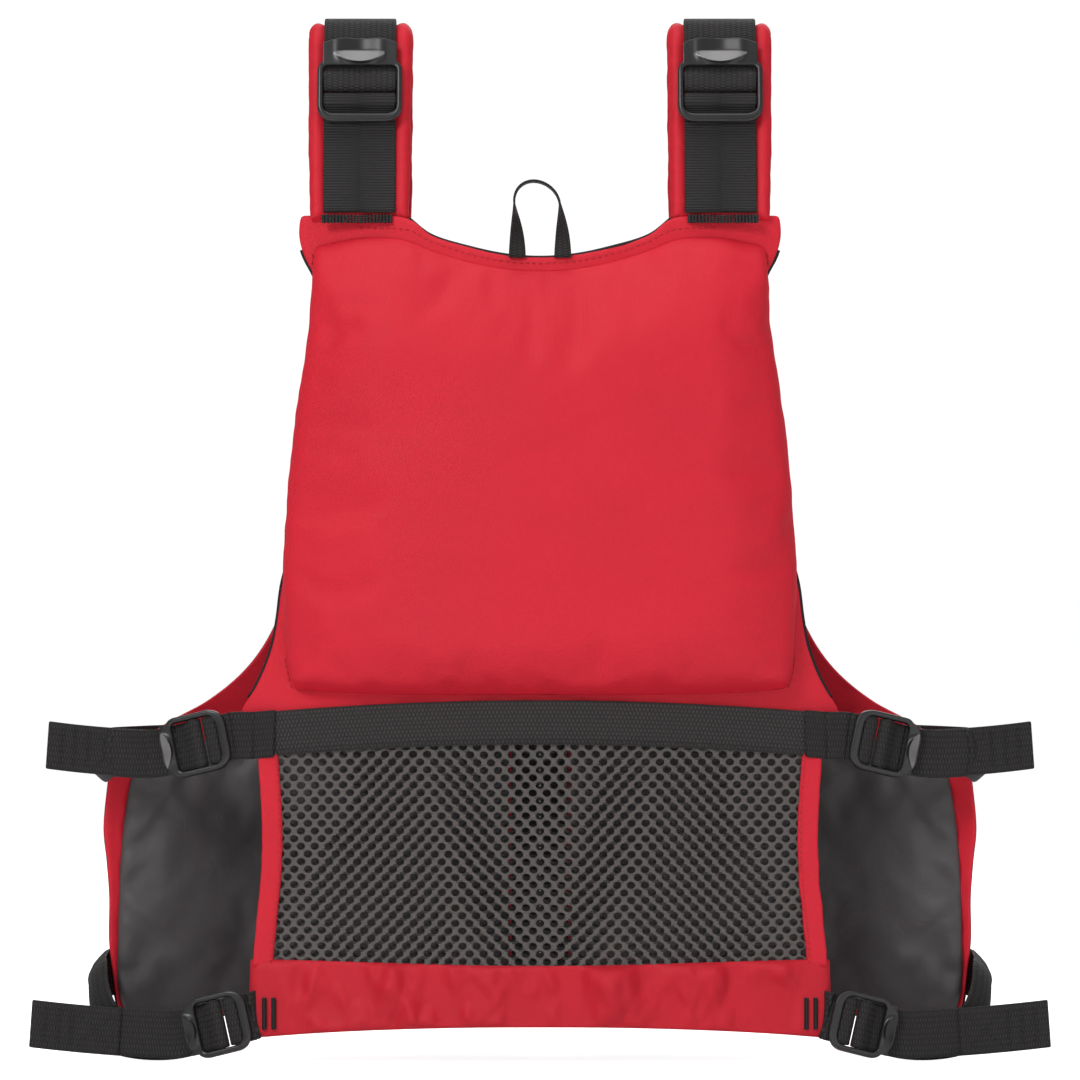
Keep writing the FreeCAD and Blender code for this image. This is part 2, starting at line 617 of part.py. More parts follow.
def build_tail(level, place):
    """A straight loose end whose last stretch is folded back on itself and sewn."""
    frame = strap_side(tail_place(place))
    length, fold, step = TAILS[level], 52.0, DIMS["web_thick"] + 0.1
    tell(f"strap_tail_{level} slides along", tail_place(place).Rotation.multVec(Vector(1, 0, 0)))
    return band(f"tail_{level}", [(0, 0), (length, 0), (length, step), (length - fold, step)],
                [step / 2, step / 2], "web_thick", "side_web", frame)


def turn_plan():
    """Where each side strap turns round the wing's edge, in the front's plan view."""
    return -235.0, -13.5


def build_load_strap(level, place):
    """The strap between the buckle and the turn at the wing's edge."""
    turn_x, turn_y = turn_plan()
    height = STRAP_HEIGHTS[level]
    end = front_frame().multVec(Vector(turn_x + 0.6, turn_y - 1.5, height))
    start = place.multVec(Vector(REACH["side_thread"] + REACH["seam"], 0, LOW_LEG))
    u = place.Rotation.multVec(Vector(1, 0, 0))
    across = place.Rotation.multVec(Vector(0, -1, 0))
    up = front_frame().Rotation.multVec(Vector(0, 0, 1))
    arrive = Vector(-0.25, 0.97, 0)
    reach = start.distanceToPoint(end) * 0.9
    sections = []
    for i in range(13):
        t = i / 12
        centre = (start * (2 * t**3 - 3 * t**2 + 1) + u * (reach * (t**3 - 2 * t**2 + t))
                  + end * (3 * t**2 - 2 * t**3) + arrive * (reach * (t**3 - t**2)))
        tangent = (start * (6 * t**2 - 6 * t) + u * (reach * (3 * t**2 - 4 * t + 1))
                   + end * (6 * t - 6 * t**2) + arrive * (reach * (3 * t**2 - 2 * t))).normalize()
        width = across * (1 - t) + up * t
        width = (width - tangent * width.dot(tangent)).normalize()
        sections.append((centre, width, tangent.cross(width)))
    return ribbon(f"load_{level}", sections, DIMS["web_thick"], DIMS["side_web"])


TAILS = {"upper": 55.0, "lower": 72.0}
STRAP_HEIGHTS = {"upper": 160.0, "lower": 43.0}


# ---------------------------------------------------------------- front panels

def build_front():
    """One half of the front: a cover with its flange, a lining, two foam sheets and piping."""
    rim = outline("front_rim", [
        ("-zip_edge", "front_low", None), ("-zip_edge", "zip_high", arc_of("front_neck_round", -1)),
        ("-front_neck_half", "front_base", None),
        ("-front_strap_half", "front_base", arc_of("front_arm_round", -1)),
        ("-front_arm_half", "front_arm", arc_of("wing_round", 1)),
        ("-wing_half", "wing_high", arc_of("wing_edge_round", -1)),
        ("-wing_low_half", "front_low", None)])
    edge = inset("front_edge", rim, "Sheet.piping")
    cushion = inset("front_cushion_edge", edge, "Sheet.front_inset")
    inner = inset("front_foam_edge", edge, "Sheet.front_inset + 2 * Sheet.fabric_thick")
    flange = front_layer("front_flange", edge, "4", "4 + Sheet.fabric_thick")
    dome = front_layer("front_dome", cushion, "Sheet.fabric_thick", "Sheet.front_thick")
    room = front_layer("front_room", inset("front_room_edge", edge, "Sheet.front_inset + Sheet.fabric_thick"),
                       "-1", "Sheet.front_thick - Sheet.fabric_thick")
    pair(cut("front_hat_hollow", fuse("front_hat", dome, flange), room), "front_shell")
    pair(front_layer("front_in", inner, "Sheet.fabric_thick + Sheet.play", "Sheet.front_seam_depth"),
         "front_foam_inner")
    pair(front_layer("front_out", inner, "Sheet.front_seam_depth + Sheet.play",
                     "Sheet.front_thick - Sheet.fabric_thick - Sheet.play"), "front_foam_outer")
    pair(front_layer("front_line", cushion, "0", "Sheet.fabric_thick - 0.1"), "front_lining")
    ring = cut("front_rim_ring", front_layer("front_rim_full", rim, "3.6", "5.4"),
               prism("front_rim_hole", edge, -60, 140))
    stop = doc.addObject("Part::Box", "rim_stop")
    stop.Length, stop.Width, stop.Height = 200, 300, 80
    stop.Placement.Base = Vector(-200, -100, DIMS["front_base"] - 1)
    zip_stop = doc.addObject("Part::Box", "rim_zip_stop")
    zip_stop.Length, zip_stop.Width, zip_stop.Height = 40, 300, DIMS["zip_high"] + 50
    zip_stop.Placement.Base = Vector(-DIMS["zip_edge"] - 1, -100, -20)
    pair(cut("front_rim_high", cut("front_rim_low", ring, stop), zip_stop), "front_piping")


def front_strip(name, corners, low, high):
    """A flat sub-part that follows the front, from its corners in the XZ plane."""
    return front_layer(name, outline(name + "_edge", corners), low, high)


def build_pocket():
    """A bellows pocket on each half, and over its mouth a flat flap hinged along its top."""
    corners = [("-pocket_in", "pocket_low", None), ("-pocket_in", "pocket_high", None),
               ("-pocket_out", "pocket_high", None), ("-pocket_out", "pocket_low", None)]
    edge = outline("pocket_edge", corners)
    thick = "Sheet.front_thick + Sheet.play"
    floor, lid = f"{thick} + Sheet.fabric_thick", f"{thick} + Sheet.pocket_depth - Sheet.fabric_thick"
    outer = front_layer("pocket_block", edge, thick, f"{thick} + Sheet.pocket_depth")
    hollow = front_layer("pocket_hollow", inset("pocket_in_edge", edge, "Sheet.fabric_thick"), floor, lid)
    mouth = doc.addObject("Part::Box", "pocket_mouth")
    mouth.Length = DIMS["pocket_out"] - DIMS["pocket_in"] - 12
    mouth.Width = 150
    mouth.Height = 4
    mouth.Placement.Base = Vector(-DIMS["pocket_out"] + 6, -10, DIMS["pocket_high"] - 3)
    room = common("pocket_mouth_room", mouth, front_layer("pocket_throat", edge, floor, lid))
    pair(cut("pocket_open", cut("pocket_wall", outer, hollow), room), "pocket")
    flap = front_strip("flap", [
        ("-flap_in", "flap_low", None), ("-flap_in", "flap_high", None),
        ("-flap_out", "flap_high", None), ("-flap_out", "flap_low", None)],
        f"{thick} + Sheet.pocket_depth + 1.0", f"{thick} + Sheet.pocket_depth + 1.0 + Sheet.flap_thick")
    pair(flap, "pocket_flap")
    level = DIMS["front_thick"] + DIMS["play"] + DIMS["pocket_depth"] + 1.0 + DIMS["flap_thick"] / 2
    ends = []
    for x in (DIMS["flap_in"], DIMS["flap_out"]):
        ends.append(front_frame().multVec(Vector(-x, front_plan_y(x, level), DIMS["flap_high"])))
    tell("pocket_flap hinge at", (ends[0] + ends[1]) * 0.5)
    tell("pocket_flap hinge axis", (ends[0] - ends[1]).normalize())


def boxes(name, spots, place):
    """One sub-part made of many equal or unequal blocks; each spot is (corner, extent) in place's frame."""
    solids = []
    for corner, extent in spots:
        solid = Part.makeBox(*extent, corner)
        solid.Placement = place
        solids.append(solid)
    group = doc.addObject("Part::Feature", name)
    group.Shape = Part.makeCompound(solids)
    return group


def build_zip():
    """The front's separating zip: tape and teeth on each half, a slider and its pull tab."""
    tape = front_strip("tape", [
        ("-tape_edge", "zip_low", None), ("-tape_edge", "zip_high", None), ("-tape_out", "zip_high", None),
        ("-tape_out", "zip_low", None)], "2.4", "2.4 + Sheet.tape_thick")
    pair(tape, "zip_tape")
    frame = front_frame()
    pitch, high, thick = DIMS["tooth_pitch"], DIMS["tooth_height"], DIMS["tooth_thick"]
    mid = front_plan_y(0, 2.8)
    count = int((DIMS["zip_high"] - DIMS["zip_low"] - 6) / pitch)
    for side, label in ((-1, "zip_teeth_left"), (1, "zip_teeth_right")):
        spots = []
        for i in range(count):
            z = DIMS["zip_low"] + 2 + i * pitch + (pitch / 2 if side > 0 else 0)
            x = -DIMS["tooth_reach"] if side > 0 else -DIMS["tooth_edge"]
            extent = (DIMS["tooth_edge"] + DIMS["tooth_reach"], thick, high)
            spots.append((Vector(x, mid - thick / 2, z), extent))
        keep(boxes(label, spots, frame), label)
    build_slider(frame, mid, DIMS["zip_low"] + 2 + count * pitch + 2.2)


def build_slider(frame, mid, z):
    """Two plates joined by a divider, with a crown on the front plate that the pull tab hangs from."""
    wide, high, plate = DIMS["slider_width"], DIMS["slider_height"], DIMS["slider_plate"]
    gap = DIMS["tooth_thick"] / 2 + 0.4
    body = Part.makeBox(wide, plate, high, Vector(-wide / 2, mid + gap, z))
    body = body.fuse(Part.makeBox(wide, plate, high, Vector(-wide / 2, mid - gap - plate, z)))
    body = body.fuse(Part.makeBox(2.4, 2 * gap, 5.0, Vector(-1.2, mid - gap, z + high - 5.0)))
    front = mid + gap + plate
    crown = Part.makeBox(2.6, 4.6, 10.0, Vector(-1.3, front, z + 2.5))
    crown = crown.cut(Part.makeBox(3.0, 2.6, 6.0, Vector(-1.5, front, z + 4.5)))
    body = body.fuse(crown).removeSplitter()
    body.Placement = frame
    slider = doc.addObject("Part::Feature", "slider")
    slider.Shape = body
    keep(slider, "zip_slider")
    bar_y, bar_z = front + 1.4, z + 5.9
    ring = Part.makeBox(8.0, 1.6, 33.2, Vector(-4.0, bar_y - 0.8, bar_z - 32.4))
    ring = ring.cut(Part.makeBox(5.0, 3.0, 8.8, Vector(-2.5, bar_y - 1.5, bar_z - 9.6)))
    ring.Placement = frame
    pull = doc.addObject("Part::Feature", "pull")
    pull.Shape = ring
    keep(pull, "zip_pull")
    tell("zip_pull hinge at", frame.multVec(Vector(0, bar_y, bar_z)))
    tell("zip_slider slides along", frame.Rotation.multVec(Vector(0, 0, -1)))


# ---------------------------------------------------------------- straps on the front and shoulders

def build_front_straps():
    """The side straps' front halves: round the wing's edge and flat along the outside of the front."""
    turn_x, turn_y = turn_plan()
    axis = front_plan_y(0, 0) - DIMS["front_radius"]
    low = Vector(-DIMS["swing_low_half"], DIMS["swing_low_y"], DIMS["swing_low"])
    high = Vector(-DIMS["swing_high_half"], 0, DIMS["swing_high"])
    tell("front hinge at", low)
    tell("front hinge axis", (high - low).normalize())
    hug = DIMS["front_radius"] + DIMS["front_thick"] + DIMS["play"] + DIMS["web_thick"] / 2
    first, last = math.asin(205.0 / hug), math.asin(176.0 / hug)
    touch = Vector(-hug * math.sin(first), axis + hug * math.cos(first))
    run = (turn_x - touch.x) / math.cos(first)
    corner = (turn_x, touch.y + run * math.sin(first))
    middle = hug / math.cos((first - last) / 2)
    knee = (-middle * math.sin((first + last) / 2), axis + middle * math.cos((first + last) / 2))
    end = (-hug * math.sin(last), axis + hug * math.cos(last))
    wraps = []
    for level, height in STRAP_HEIGHTS.items():
        place = front_frame().multiply(Placement(Vector(0, 0, height), Rotation()))
        wraps.append(band(f"wrap_{level}", [(turn_x, turn_y + 0.9), corner, knee, end], [12.0, hug],
                          "web_thick", "side_web", place))
    pair(group("wraps", wraps), "front_straps")


def shoulder_frame(x):
    """The frame of the shoulder's side view at x: its X points to the front (+Y) and its Y up."""
    turn = Rotation(Vector(0, 1, 0), Vector(0, 0, 1), Vector(1, 0, 0), "XYZ")
    return Placement(Vector(x, 0, DIMS["top_z"]), turn)


def leg_point(side, along, level):
    """A point of the shoulder's side view. side is -1 on the back leg and +1 on the front; along runs down it
    from its tangent point, and level is the distance from the arc's centre."""
    lean = math.radians(DIMS["leg_lean"] if side < 0 else DIMS["front_leg_lean"])
    return (side * (DIMS["crown_gap"] + level * math.cos(lean) + along * math.sin(lean)),
            level * math.sin(lean) - along * math.cos(lean))


def crest(name, side, level, thick, width, reach):
    """A strip over one half of the shoulder, from the crown down one leg for a reach."""
    lean = DIMS["leg_lean"] if side < 0 else DIMS["front_leg_lean"]
    half = math.radians((90 - lean) / 2)
    corner = (side * (DIMS["crown_gap"] + level * math.tan(half)), level)
    points = [(side * DIMS["crown_gap"], level), corner, leg_point(side, reach, level)]
    return band(name, points, [level], thick, width, shoulder_frame(-DIMS["shoulder_x"]))


def build_shoulders():
    """Each shoulder: a padded strap from back to front, webbing over it and a large ladder-lock behind."""
    mid, pad, web = DIMS["pad_mid_radius"], DIMS["pad_thick"], DIMS["web_thick"]
    back_reach = (DIMS["top_z"] + 2.4 - DIMS["strap_base"] - 1.5) / math.cos(math.radians(DIMS["leg_lean"]))
    front_lean = math.radians(DIMS["front_leg_lean"])
    front_reach = (DIMS["top_z"] + 3.2 - DIMS["front_base"] - 2.5) / math.cos(front_lean)
    pair(crest("pad_back", -1, mid, "pad_thick", "pad_width", back_reach), "shoulder_pad_back")
    pair(crest("pad_front", 1, mid, "pad_thick", "pad_width", front_reach), "shoulder_pad_front")
    top = mid + pad / 2 + 0.4 + web / 2
    over = top + web + 0.15
    tangent = DIMS["shoulder_bar_drop"] - REACH["shoulder_thread"] - REACH["seam"]
    over_back = [crest("web_back_load", -1, top, "web_thick", "shoulder_web", tangent),
                 crest("web_back_loose", -1, over, "web_thick", "shoulder_web", tangent)]
    keep(group("web_back", over_back + [twin(strip) for strip in over_back]), "shoulder_webbing_back")
    over_front = [crest("web_front_load", 1, top, "web_thick", "shoulder_web", front_reach - 6.0),
                  crest("web_front_loose", 1, over, "web_thick", "shoulder_web", DIMS["loose_end"])]
    pair(group("web_front", over_front), "shoulder_webbing_front")
    place = shoulder_place()
    pair(buckle("lock_shoulder", "shoulder_web", "shoulder_back", "shoulder_front", "shoulder_bar", place),
         "shoulder_buckle")
    side = strap_side(place)
    path, rounds = loop_path(REACH["shoulder_loop"])
    loop = band("loop_shoulder", path, rounds, "web_thick", "shoulder_web", side)
    path, rounds = thread_path(DIMS["shoulder_bar"], REACH["shoulder_thread"])
    thread = band("thread_shoulder", path, rounds, "web_thick", "shoulder_web", side)
    pair(group("laced_shoulder", [loop, thread]), "shoulder_lacing")
    tell_hinge("shoulder_buckle", place, REACH["shoulder_loop"])
    start, end = -REACH["shoulder_loop"] - 1.5, -DIMS["anchor_reach"]
    level = LOW_LEG + 0.8
    anchor = band("anchor", [(start, level), (end, level)], [], "anchor_thick", "shoulder_web", side)
    keep(group("anchors", [anchor, twin(anchor)]), "shoulder_anchors")


def build_loop():
    """The hang loop behind the neck: its legs face back and twist until the round crown is edge-on."""
    lean = math.radians(DIMS["back_lean"])
    up, out = Vector(0, math.sin(lean), math.cos(lean)), Vector(0, -math.cos(lean), math.sin(lean))
    foot = Vector(0, back_y(0, DIMS["loop_foot"], DIMS["flange_depth"]), DIMS["loop_foot"]) + out * 1.4
    thick, width, radius = DIMS["loop_thick"], DIMS["loop_width"], DIMS["loop_radius"]
    tall = (DIMS["loop_spring"] - DIMS["loop_foot"]) / math.cos(lean)
    centre = foot + up * tall
    ring = Part.makeCylinder(radius + thick / 2, width, centre - out * (width / 2), out, 360)
    ring = ring.cut(Part.makeCylinder(radius - thick / 2, 2 * width, centre - out * width, out, 360))
    half = Part.makeBox(60, 60, 60)
    upright = Rotation(Vector(1, 0, 0), up.cross(Vector(1, 0, 0)), up, "ZXY")
    half.Placement = Placement(centre, upright).multiply(Placement(Vector(-60, -30, -0.1), Rotation()))
    side = ring.common(half)
    wires = []
    for i in range(9):
        turn = math.pi / 2 * min(1.0, i / 4)
        across = (Vector(1, 0, 0) * math.cos(turn) - out * math.sin(turn)) * (width / 2)
        through = (out * math.cos(turn) + Vector(1, 0, 0) * math.sin(turn)) * (thick / 2)
        spot = foot - Vector(radius, 0, 0) + up * (tall * i / 8)
        corners = [spot + across + through, spot - across + through,
                   spot - across - through, spot + across - through]
        wires.append(Part.makePolygon(corners + corners[:1]))
    leg = Part.makeLoft(wires, True, True)
    side = side.fuse(leg)
    loop = side.fuse(side.mirror(Vector(), Vector(1, 0, 0))).removeSplitter()
    whole = doc.addObject("Part::Feature", "loop")
    whole.Shape = loop
    keep(whole, "hang_loop")
    tell("hang_loop crown centre", centre)
    tell("hang_loop crown axis", out)
    tell("hang_loop hinge at", foot)


build_back()
build_mesh()
build_side_straps()
build_front()
build_pocket()
build_zip()
build_front_straps()
build_shoulders()
build_loop()
doc.recompute()

failed = [obj.Name for obj in doc.Objects if "Invalid" in obj.State or "Error" in obj.State]
if failed:
    raise RuntimeError(f"these did not compute: {failed}")
os.makedirs("parts", exist_ok=True)
bad = [p.Label for p in PARTS if p.Shape.isNull() or not p.Shape.isValid() or not p.Shape.Solids]
if bad:
    raise RuntimeError(f"these have no valid solid: {bad}")
for sub_part in PARTS:
    sub_part.Shape.exportStep(f"parts/{sub_part.Label}.step")
print(f"wrote {len(PARTS)} sub-parts")
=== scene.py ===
"""A paddling life jacket: red cushions with black linings, an open mesh lower back, webbing and ladder-locks.

Lengths inside the helpers are in millimetres, in the frame of the CAD model; MM turns them into metres.
+Z is up, the back of the jacket faces -Y, and the wearer's left is at -X.
"""
import math

import bmesh
import bpy
import numpy as np
from mathutils import Matrix, Vector, noise


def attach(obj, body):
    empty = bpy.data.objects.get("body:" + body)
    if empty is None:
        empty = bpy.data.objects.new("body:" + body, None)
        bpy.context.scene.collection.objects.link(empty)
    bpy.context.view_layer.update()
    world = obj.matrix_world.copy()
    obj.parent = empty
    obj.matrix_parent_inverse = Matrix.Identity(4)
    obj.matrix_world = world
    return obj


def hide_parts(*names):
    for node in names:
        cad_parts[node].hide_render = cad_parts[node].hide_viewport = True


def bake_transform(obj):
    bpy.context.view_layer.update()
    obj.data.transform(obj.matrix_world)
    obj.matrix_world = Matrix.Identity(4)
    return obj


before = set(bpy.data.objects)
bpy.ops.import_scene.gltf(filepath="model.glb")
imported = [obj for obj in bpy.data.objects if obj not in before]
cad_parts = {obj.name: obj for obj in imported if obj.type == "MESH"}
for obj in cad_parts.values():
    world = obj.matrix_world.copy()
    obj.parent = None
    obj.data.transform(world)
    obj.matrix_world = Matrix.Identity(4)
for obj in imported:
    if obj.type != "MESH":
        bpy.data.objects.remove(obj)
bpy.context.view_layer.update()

MM = 0.001
ROOT = "back_panel"

# The back's flange is a cylinder that leans forwards; the front's inner face is another that leans backwards.
BACK_RADIUS, BACK_AXIS_Y, BACK_LEAN = 672.0, 591.0, math.radians(4.5)
FRONT_RADIUS, FRONT_AXIS_Y, FRONT_LEAN = 420.0, -362.1, math.radians(3.5)
# Where the side straps turn round the edge of the left wing.
WING_EDGE = Vector((-235.0, -13.5, 0.0))

RIGHT = Vector((1, 0, 0))
FORWARD = Vector((0, 1, 0))
REAR = Vector((0, -1, 0))
UP = Vector((0, 0, 1))
BACK_UP = Vector((0, math.sin(BACK_LEAN), math.cos(BACK_LEAN)))
BACK_OUT = Vector((0, -math.cos(BACK_LEAN), math.sin(BACK_LEAN)))


# ---------------------------------------------------------------- small sums

def unit(value):
    """A number kept between 0 and 1."""
    return min(1.0, max(0.0, value))


def ease(t):
    """A soft step from 0 to 1."""
    return t * t * (3 - 2 * t)


def zigzag(k):
    """1 for odd steps and -1 for even ones."""
    return 1 if k % 2 else -1


def fbm(x, y, z, octaves=3):
    """Smooth noise about zero."""
    return noise.fractal(Vector((x, y, z)), 1.0, 2.0, octaves)


# ---------------------------------------------------------------- places on the jacket

def on_back(x, z, out):
    """The point of the back's surface at x and z, a distance out from the flange."""
    reach = math.sqrt((BACK_RADIUS + out) ** 2 - x * x)
    return Vector((x, BACK_AXIS_Y + (z * math.sin(BACK_LEAN) - reach) / math.cos(BACK_LEAN), z))


def on_front(x, z, high):
    """The point of the front's surface at x and z, a height above its inner face."""
    reach = math.sqrt((FRONT_RADIUS + high) ** 2 - x * x)
    return Vector((x, FRONT_AXIS_Y + (reach - z * math.sin(FRONT_LEAN)) / math.cos(FRONT_LEAN), z))


def front_tilt(point):
    """From the front's own leaning frame to the jacket's."""
    return Matrix.Rotation(FRONT_LEAN, 3, "X") @ Vector(point)


# ---------------------------------------------------------------- curves and grids

CURVE_STEPS = 16


def smooth(points, count):
    """count evenly spaced points along a curve through points."""
    pts = [Vector(p) for p in points]
    dense = []
    for i in range(len(pts) - 1):
        p1, p2 = pts[i], pts[i + 1]
        p0 = pts[i - 1] if i > 0 else p1 + (p1 - p2)
        p3 = pts[i + 2] if i + 2 < len(pts) else p2 + (p2 - p1)
        steps = [0.0]
        for a, b in ((p0, p1), (p1, p2), (p2, p3)):
            steps.append(steps[-1] + max((b - a).length, 1e-6) ** 0.5)
        t0, t1, t2, t3 = steps
        for k in range(CURVE_STEPS):
            t = t1 + (t2 - t1) * k / CURVE_STEPS
            a1 = p0 * ((t1 - t) / (t1 - t0)) + p1 * ((t - t0) / (t1 - t0))
            a2 = p1 * ((t2 - t) / (t2 - t1)) + p2 * ((t - t1) / (t2 - t1))
            a3 = p2 * ((t3 - t) / (t3 - t2)) + p3 * ((t - t2) / (t3 - t2))
            b1 = a1 * ((t2 - t) / (t2 - t0)) + a2 * ((t - t0) / (t2 - t0))
            b2 = a2 * ((t3 - t) / (t3 - t1)) + a3 * ((t - t1) / (t3 - t1))
            dense.append(b1 * ((t2 - t) / (t2 - t1)) + b2 * ((t - t1) / (t2 - t1)))
    dense.append(pts[-1].copy())
    return evenly(dense, count)


def evenly(points, count, closed=False):
    """The same polyline with count evenly spaced points."""
    lengths = [0.0]
    for a, b in zip(points[:-1], points[1:]):
        lengths.append(lengths[-1] + (b - a).length)
    total, result, at = lengths[-1], [], 0
    marks = count if closed else count - 1
    for i in range(count):
        want = total * i / marks
        while at < len(lengths) - 2 and lengths[at + 1] < want:
            at += 1
        span = lengths[at + 1] - lengths[at]
        result.append(points[at].lerp(points[at + 1], (want - lengths[at]) / span if span > 0 else 0.0))
    return result


def rounded(points, radii, step=1.2):
    """A polyline with its inner corners rounded, given a radius for each inner corner."""
    pts = [Vector(p) for p in points]
    result = [pts[0]]
    for i in range(1, len(pts) - 1):
        corner = pts[i]
        back = (pts[i - 1] - corner).normalized()
        ahead = (pts[i + 1] - corner).normalized()
        angle = back.angle(ahead)
        run = radii[i - 1] / math.tan(angle / 2)
        start, end = corner + back * run, corner + ahead * run
        centre = corner + (back + ahead).normalized() * (radii[i - 1] / math.sin(angle / 2))
        turn = math.pi - angle
        bits = max(3, int(turn * radii[i - 1] / step) + 2)
        a, b = start - centre, end - centre
        for k in range(bits + 1):
            t = k / bits
            result.append(centre + (a * math.sin((1 - t) * turn) + b * math.sin(t * turn)) / math.sin(turn))
    result.append(pts[-1])
    return result


def coons(bottom, top, left, right):
    """Fills four boundary polylines of XZ points with a grid: rows run from bottom to top."""
    nu, nv = len(bottom), len(left)
    grid = np.zeros((nv, nu, 2))
    c = {(0, 0): bottom[0], (1, 0): bottom[-1], (0, 1): top[0], (1, 1): top[-1]}
    for j in range(nv):
        v = j / (nv - 1)
        for i in range(nu):
            u = i / (nu - 1)
            ruled = bottom[i] * (1 - v) + top[i] * v + left[j] * (1 - u) + right[j] * u
            corners = (c[0, 0] * ((1 - u) * (1 - v)) + c[1, 0] * (u * (1 - v))
                       + c[0, 1] * ((1 - u) * v) + c[1, 1] * (u * v))
            point = ruled - corners
            grid[j, i] = point[0], point[1]
    return grid


def edge_distance(grid):
    """For every grid point, its distance from the boundary, and how far round it the nearest spot lies."""
    ring = np.concatenate([grid[0, :-1], grid[:-1, -1], grid[-1, :0:-1], grid[:0:-1, 0]])
    after = np.roll(ring, -1, axis=0)
    lengths = np.linalg.norm(after - ring, axis=1)
    starts = np.concatenate([[0], np.cumsum(lengths)[:-1]])
    flat = grid.reshape(-1, 2)
    best = np.full(len(flat), 1e9)
    where = np.zeros(len(flat))
    for a, b, length, start in zip(ring, after, lengths, starts):
        t = np.clip(((flat - a) @ (b - a)) / max(length * length, 1e-9), 0, 1)
        gap = np.linalg.norm(flat - (a + t[:, None] * (b - a)), axis=1)
        closer = gap < best
        best[closer] = gap[closer]
        where[closer] = (start + t * length)[closer]
    return best.reshape(grid.shape[:2]), where.reshape(grid.shape[:2])


# ---------------------------------------------------------------- mesh making

def make(name, verts, faces, material, attributes=None):
    """A mesh object from millimetre points."""
    mesh = bpy.data.meshes.new(name)
    mesh.from_pydata([tuple(Vector(v) * MM) for v in verts], [], faces)
    mesh.validate()
    for key, values in (attributes or {}).items():
        data = mesh.attributes.new(key, "FLOAT", "POINT")
        data.data.foreach_set("value", values)
    shade(mesh)
    mesh.materials.append(material)
    obj = bpy.data.objects.new(name, mesh)
    bpy.context.scene.collection.objects.link(obj)
    bm = bmesh.new()
    bm.from_mesh(mesh)
    bmesh.ops.recalc_face_normals(bm, faces=bm.faces)
    bm.to_mesh(mesh)
    bm.free()
    return obj


def shade(mesh):
    """Smooth shading on every face."""
    mesh.polygons.foreach_set("use_smooth", [True] * len(mesh.polygons))


def modifier(obj, kind, **settings):
    """Adds a modifier and applies it."""
    mod = obj.modifiers.new(kind.lower(), kind)
    for key, value in settings.items():
        setattr(mod, key, value)
    bake(obj)


def bake(obj):
    """Turns the object's modifiers into plain mesh."""
    graph = bpy.context.evaluated_depsgraph_get()
    mesh = bpy.data.meshes.new_from_object(obj.evaluated_get(graph))
    obj.modifiers.clear()
    old = obj.data
    obj.data = mesh
    bpy.data.meshes.remove(old)


def flip(obj, name):
    """A mirror-image copy for the right-hand side."""
    twin = obj.copy()
    twin.data = obj.data.copy()
    twin.name = name
    bpy.context.scene.collection.objects.link(twin)
    twin.data.transform(Matrix.Scale(-1, 4, (1, 0, 0)))
    twin.data.flip_normals()
    return twin


def panel(name, grid, low, high, place, material):
    """A closed sheet or pillow over a grid of XZ points. low and high are arrays of heights, and
    place(x, z, height) puts a point on the jacket. The two faces meet all round in a narrow wall."""
    rows, cols = grid.shape[:2]
    verts = []
    for heights in (high, low):
        for j in range(rows):
            for i in range(cols):
                verts.append(place(grid[j, i, 0], grid[j, i, 1], heights[j, i]))
    faces = []
    off = rows * cols
    for j in range(rows - 1):
        for i in range(cols - 1):
            a = j * cols + i
            faces.append((a, a + 1, a + cols + 1, a + cols))
            faces.append((off + a + cols, off + a + cols + 1, off + a + 1, off + a))
    ring = [(0, i) for i in range(cols - 1)] + [(j, cols - 1) for j in range(rows - 1)]
    ring += [(rows - 1, i) for i in range(cols - 1, 0, -1)] + [(j, 0) for j in range(rows - 1, 0, -1)]
    for (j0, i0), (j1, i1) in zip(ring, ring[1:] + ring[:1]):
        a, b = j0 * cols + i0, j1 * cols + i1
        faces.append((b, a, off + a, off + b))
    return make(name, verts, faces, material)


def join(objects, name):
    """Joins objects into one."""
    bpy.ops.object.select_all(action="DESELECT")
    for obj in objects:
        obj.select_set(True)
    bpy.context.view_layer.objects.active = objects[0]
    bpy.ops.object.join()
    objects[0].name = name
    return objects[0]


FLAT_SPANS = 8
CURL_STILL = 0.55


def strip(name, stations, width, thick, material, curl=None):
    """A strip of webbing through stations (centre, across, out). Two numbers are stored on each point, how far
    along and how far across it is in millimetres, for the weave. curl(centre) is how deep the strip bows at a
    station: its edges move towards +X and its middle the other way."""
    half, t = width / 2, thick / 2
    edge = min(t, 0.7)
    section = [(-half, 0.0), (-half + edge * 0.4, t * 0.8), (-half + edge * 1.4, t)]
    section += [(-half + edge * 1.4 + (width - 2.8 * edge) * k / FLAT_SPANS, t) for k in range(1, FLAT_SPANS)]
    section += [(half - edge * 1.4, t), (half - edge * 0.4, t * 0.8), (half, 0.0)]
    section += [(a, -b) for a, b in reversed(section[1:-1])]
    verts, along, across_of, faces = [], [], [], []
    run = 0.0
    for index, (centre, across, out) in enumerate(stations):
        if index:
            run += (centre - stations[index - 1][0]).length
        a = across.normalized()
        o = (out - a * out.dot(a)).normalized()
        bend = curl(centre) if curl else 0.0
        for x, y in section:
            verts.append(centre + a * x + o * y + Vector((bend * ((x / half) ** 2 - CURL_STILL), 0, 0)))
            along.append(run)
            across_of.append(x)
    n = len(section)
    for s in range(len(stations) - 1):
        for k in range(n):
            a, b = s * n + k, s * n + (k + 1) % n
            faces.append((a, b, b + n, a + n))
    faces.append(tuple(reversed(range(n))))
    faces.append(tuple(range(len(verts) - n, len(verts))))
    return make(name, verts, faces, material, {"along": along, "across": across_of})


